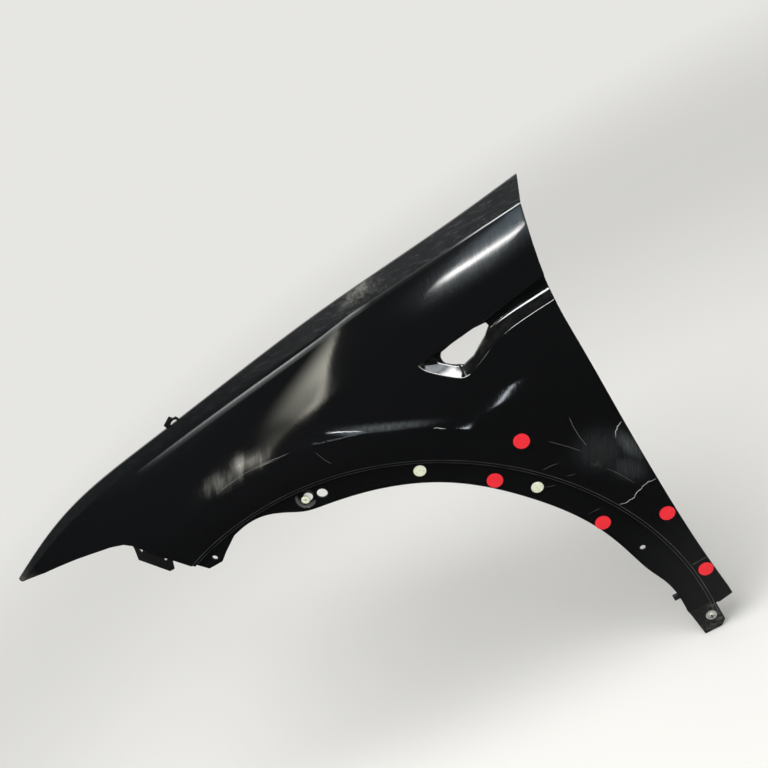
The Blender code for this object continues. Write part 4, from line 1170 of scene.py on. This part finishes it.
# Studio: a pale floor that runs out into a pale surround, and lamps that the gloss doesn't see. What
# the gloss sees is a dark room of its own, with light cards as (corners, colour, strength, soft edges)
studio = {
    "floorZ": -0.0225, "floorSize": 30.0, "floorColour": (0.80, 0.795, 0.77),
    "surround": (0.80, 0.795, 0.775), "fill": 0.44, "fadeFrom": 1.2, "fadeTo": 3.2,
    "lamps": (("overhead", (-0.5, -0.7, 2.9), (-0.35, 0.0, 0.4), 2.2, 1.8, 82),
              ("side", (2.2, -1.8, 1.9), (-0.2, 0.0, 0.4), 1.4, 1.4, 20)),
    "room": (-4.0, 3.0, -4.6, 3.0, -0.0222, 0.70, 3.2),     # left, right, front, inner, low, near, top
    "dark": 0.03, "inboard": 0.34, "brightTowards": (0.20, 0.80), "brightAlong": (-2.4, -0.6, 0.12, 1.0),
    "cards": {
        "shoulderTube": (flat(3.14, (-0.899, -2.105), (-0.439, -3.405), (-0.409, -3.395), (-0.869, -2.095)),
            (1.0, 0.99, 0.97), 75, (0.25, 0.02, 0.40, 0.40)),
        "shoulderGlow": (flat(3.16, (-0.98, -2.70), (-0.20, -4.20), (-0.20, -2.55), (-0.98, -1.70)),
            (0.66, 0.86, 1.0), 2.6, (0.85, 0.05, 0.45, 0.50)),
        "creaseGlow": (flat(3.14, (-0.46, -0.42), (-0.80, -1.50), (0.15, -1.50), (0.15, -0.42)),
            (0.96, 0.98, 1.0), 28, (0.10, 0.15, 0.25, 0.15)),
        "rimGlow": (flat(3.14, (1.7, -3.6), (2.9, -3.6), (2.9, -1.3), (1.7, -1.3)),
            (0.96, 0.98, 1.0), 22, (0.30, 0.30, 0.30, 0.30)),
        "warmWall": (flat(3.14, (-1.33, -0.35), (-1.49, -2.30), (-1.56, -2.30), (-1.75, -0.35)),
            (1.0, 0.98, 0.84), 11, (0.40, 0.15, 0.04, 0.90)),
        "ventStrip": (flat(3.14, (0.9, -0.85), (2.5, -0.85), (2.5, -0.30), (0.9, -0.30)),
            (0.88, 0.95, 1.0), 8, (0.15, 0.15, 0.35, 0.20)),
        "ventCore": (flat(3.12, (0.9, -0.80), (2.5, -0.80), (2.5, -0.43), (0.9, -0.43)),
            (0.96, 0.98, 1.0), 36, (0.15, 0.15, 0.35, 0.25)),
        "lowTube": (flat(-0.01, (-0.252, -1.50), (-0.205, -2.60), (-0.165, -2.60), (-0.212, -1.50)),
            (0.86, 0.93, 1.0), 16, (0.15, 0.30, 0.45, 0.45)),
        "treadGlow": (flat(-0.018, (-0.20, 0.02), (-0.20, -0.42), (0.40, -0.42), (0.40, 0.02)),
            (0.95, 1.0, 0.93), 0.24, (0.02, 0.85, 0.45, 0.05)),
        "sidePanel": (((2.95, -3.2, 0.5), (2.95, -0.4, 0.5), (2.95, -0.4, 2.6), (2.95, -3.2, 2.6)),
            (0.95, 0.98, 1.0), 2.5, (0.30, 0.30, 0.30, 0.30)),
    },
}


def backgroundRays(tree):     # 1 for what the camera, gloss and glass see directly
    path = addNode(tree, "ShaderNodeLightPath")
    both = sums(tree, "MAXIMUM", path.outputs["Is Camera Ray"], path.outputs["Is Glossy Ray"])
    return sums(tree, "MAXIMUM", both, path.outputs["Is Transmission Ray"])


def buildFloor():
    world = bpy.data.worlds.new("surround")
    bpy.context.scene.world = world
    world.use_nodes = True
    tree = world.node_tree
    shade = tree.nodes["Background"]
    shade.inputs["Color"].default_value = (*studio["surround"], 1)
    strength = spread(tree, backgroundRays(tree), 0, 1, studio["fill"], 1.0)
    tree.links.new(strength, shade.inputs["Strength"])
    half = studio["floorSize"] / 2
    corners = flat(studio["floorZ"], (-half, -half), (half, -half), (half, half), (-half, half))
    material, tree, shader = newFinish("paleFloor", studio["floorColour"], 0.9)
    shader.inputs["Specular IOR Level"].default_value = 0.0
    glow = addNode(tree, "ShaderNodeEmission", Color=(*studio["surround"], 1))
    mix, end = addNode(tree, "ShaderNodeMixShader"), tree.nodes["Material Output"]
    place = addNode(tree, "ShaderNodeTexCoord")
    far = addNode(tree, "ShaderNodeVectorMath", {"operation": "LENGTH"})
    fade = spread(tree, far.outputs["Value"], studio["fadeFrom"], studio["fadeTo"])
    tree.links.new(times(tree, fade, backgroundRays(tree)), mix.inputs["Fac"])
    wire(tree, (place, "Object", far, 0), (shader, "BSDF", mix, 1), (glow, "Emission", mix, 2),
         (mix, "Shader", end, "Surface"))
    floor = linkPiece("floor", meshOf("floor", corners, [(0, 1, 2, 3)]))
    floor.data.materials.append(material)


def buildLamps():
    for name, place, aim, wide, high, power in studio["lamps"]:
        light = bpy.data.lights.new(name, "AREA")
        light.shape, light.size, light.size_y, light.energy = "RECTANGLE", wide, high, power
        lamp = linkPiece(name, light)
        way = Vector(aim) - Vector(place)
        lamp.matrix_world = Matrix.Translation(place) @ way.to_track_quat("-Z", "Y").to_matrix().to_4x4()
        lamp.visible_glossy = False


def glowFinish(name, colour):
    material = bpy.data.materials.new(name)
    material.use_nodes = True
    tree = material.node_tree
    tree.nodes.remove(tree.nodes["Principled BSDF"])
    glow = addNode(tree, "ShaderNodeEmission", Color=(*colour, 1))
    wire(tree, (glow, "Emission", tree.nodes["Material Output"], "Surface"))
    return material, tree, glow


def forGlossOnly(card, material):
    card.data.materials.append(material)
    card.visible_camera = card.visible_diffuse = card.visible_shadow = False
    card.visible_transmission = card.visible_volume_scatter = False


def buildGlossRoom():
    left, right, front, inner, low, near, top = studio["room"]
    corners = flat(low, (left, front), (right, front), (right, near), (left, near))
    corners += flat(top, (left, front), (right, front), (right, inner), (left, inner))
    corners += [(left, inner, low), (right, near, top)]
    walls = [(0, 1, 2, 3), (0, 4, 5, 1), (4, 7, 6, 5), (0, 8, 7, 4), (1, 5, 9, 2)]
    material, tree, glow = glowFinish("darkRoom", (0.90, 0.97, 1.0))
    place, split = addNode(tree, "ShaderNodeTexCoord"), addNode(tree, "ShaderNodeSeparateXYZ")
    wire(tree, (place, "Object", split, 0))
    towards = spread(tree, split.outputs["Y"], *studio["brightTowards"])
    along = spread(tree, split.outputs["X"], *studio["brightAlong"])
    bright = times(tree, times(tree, towards, along), studio["inboard"])
    tree.links.new(sums(tree, "ADD", bright, studio["dark"]), glow.inputs["Strength"])
    forGlossOnly(linkPiece("glossRoom", meshOf("glossRoom", corners, walls)), material)
    for name, (corners, colour, strength, soft) in studio["cards"].items():
        material, tree, glow = glowFinish(name, colour)
        place = addNode(tree, "ShaderNodeUVMap", {"uv_map": "card"})
        split = addNode(tree, "ShaderNodeSeparateXYZ")
        wire(tree, (place, "UV", split, 0))
        u, v = split.outputs["X"], split.outputs["Y"]
        ways = (u, sums(tree, "SUBTRACT", 1, u), v, sums(tree, "SUBTRACT", 1, v))
        shape = strength
        for way, width in zip(ways, soft):
            shape = times(tree, spread(tree, way, 0, width), shape)
        tree.links.new(sums(tree, "MAXIMUM", shape, studio["dark"]), glow.inputs["Strength"])
        card = meshOf(name, corners, [(0, 1, 2, 3)])
        layer = card.uv_layers.new(name="card")
        for i, place in enumerate(((0, 0), (1, 0), (1, 1), (0, 1))):
            layer.data[i].uv = place
        forGlossOnly(linkPiece(name, card), material)


print("studio")
buildFloor()
buildLamps()
buildGlossRoom()

# The photograph's viewpoint: where the camera stands, its right and its line of sight
view = {"place": (0.072, -1.122, 1.153), "right": (0.841, -0.051, -0.538), "ahead": (-0.209, 0.887, -0.411),
        "focalPixels": 950, "imagePixels": 768, "sensor": 36.0}


def buildCamera():
    data = bpy.data.cameras.new("viewpoint")
    data.sensor_width = data.sensor_height = view["sensor"]
    data.lens = view["focalPixels"] * view["sensor"] / view["imagePixels"]
    data.clip_start, data.clip_end = 0.05, 100
    camera = linkPiece("viewpoint", data)
    ahead = Vector(view["ahead"]).normalized()
    right = Vector(view["right"])
    right = (right - ahead * right.dot(ahead)).normalized()
    turn = Matrix((right, right.cross(ahead), -ahead)).transposed().to_4x4()
    camera.matrix_world = Matrix.Translation(view["place"]) @ turn
    bpy.context.scene.camera = camera


buildCamera()
bpy.context.scene.view_settings.view_transform = "Standard"
print("scene ready")
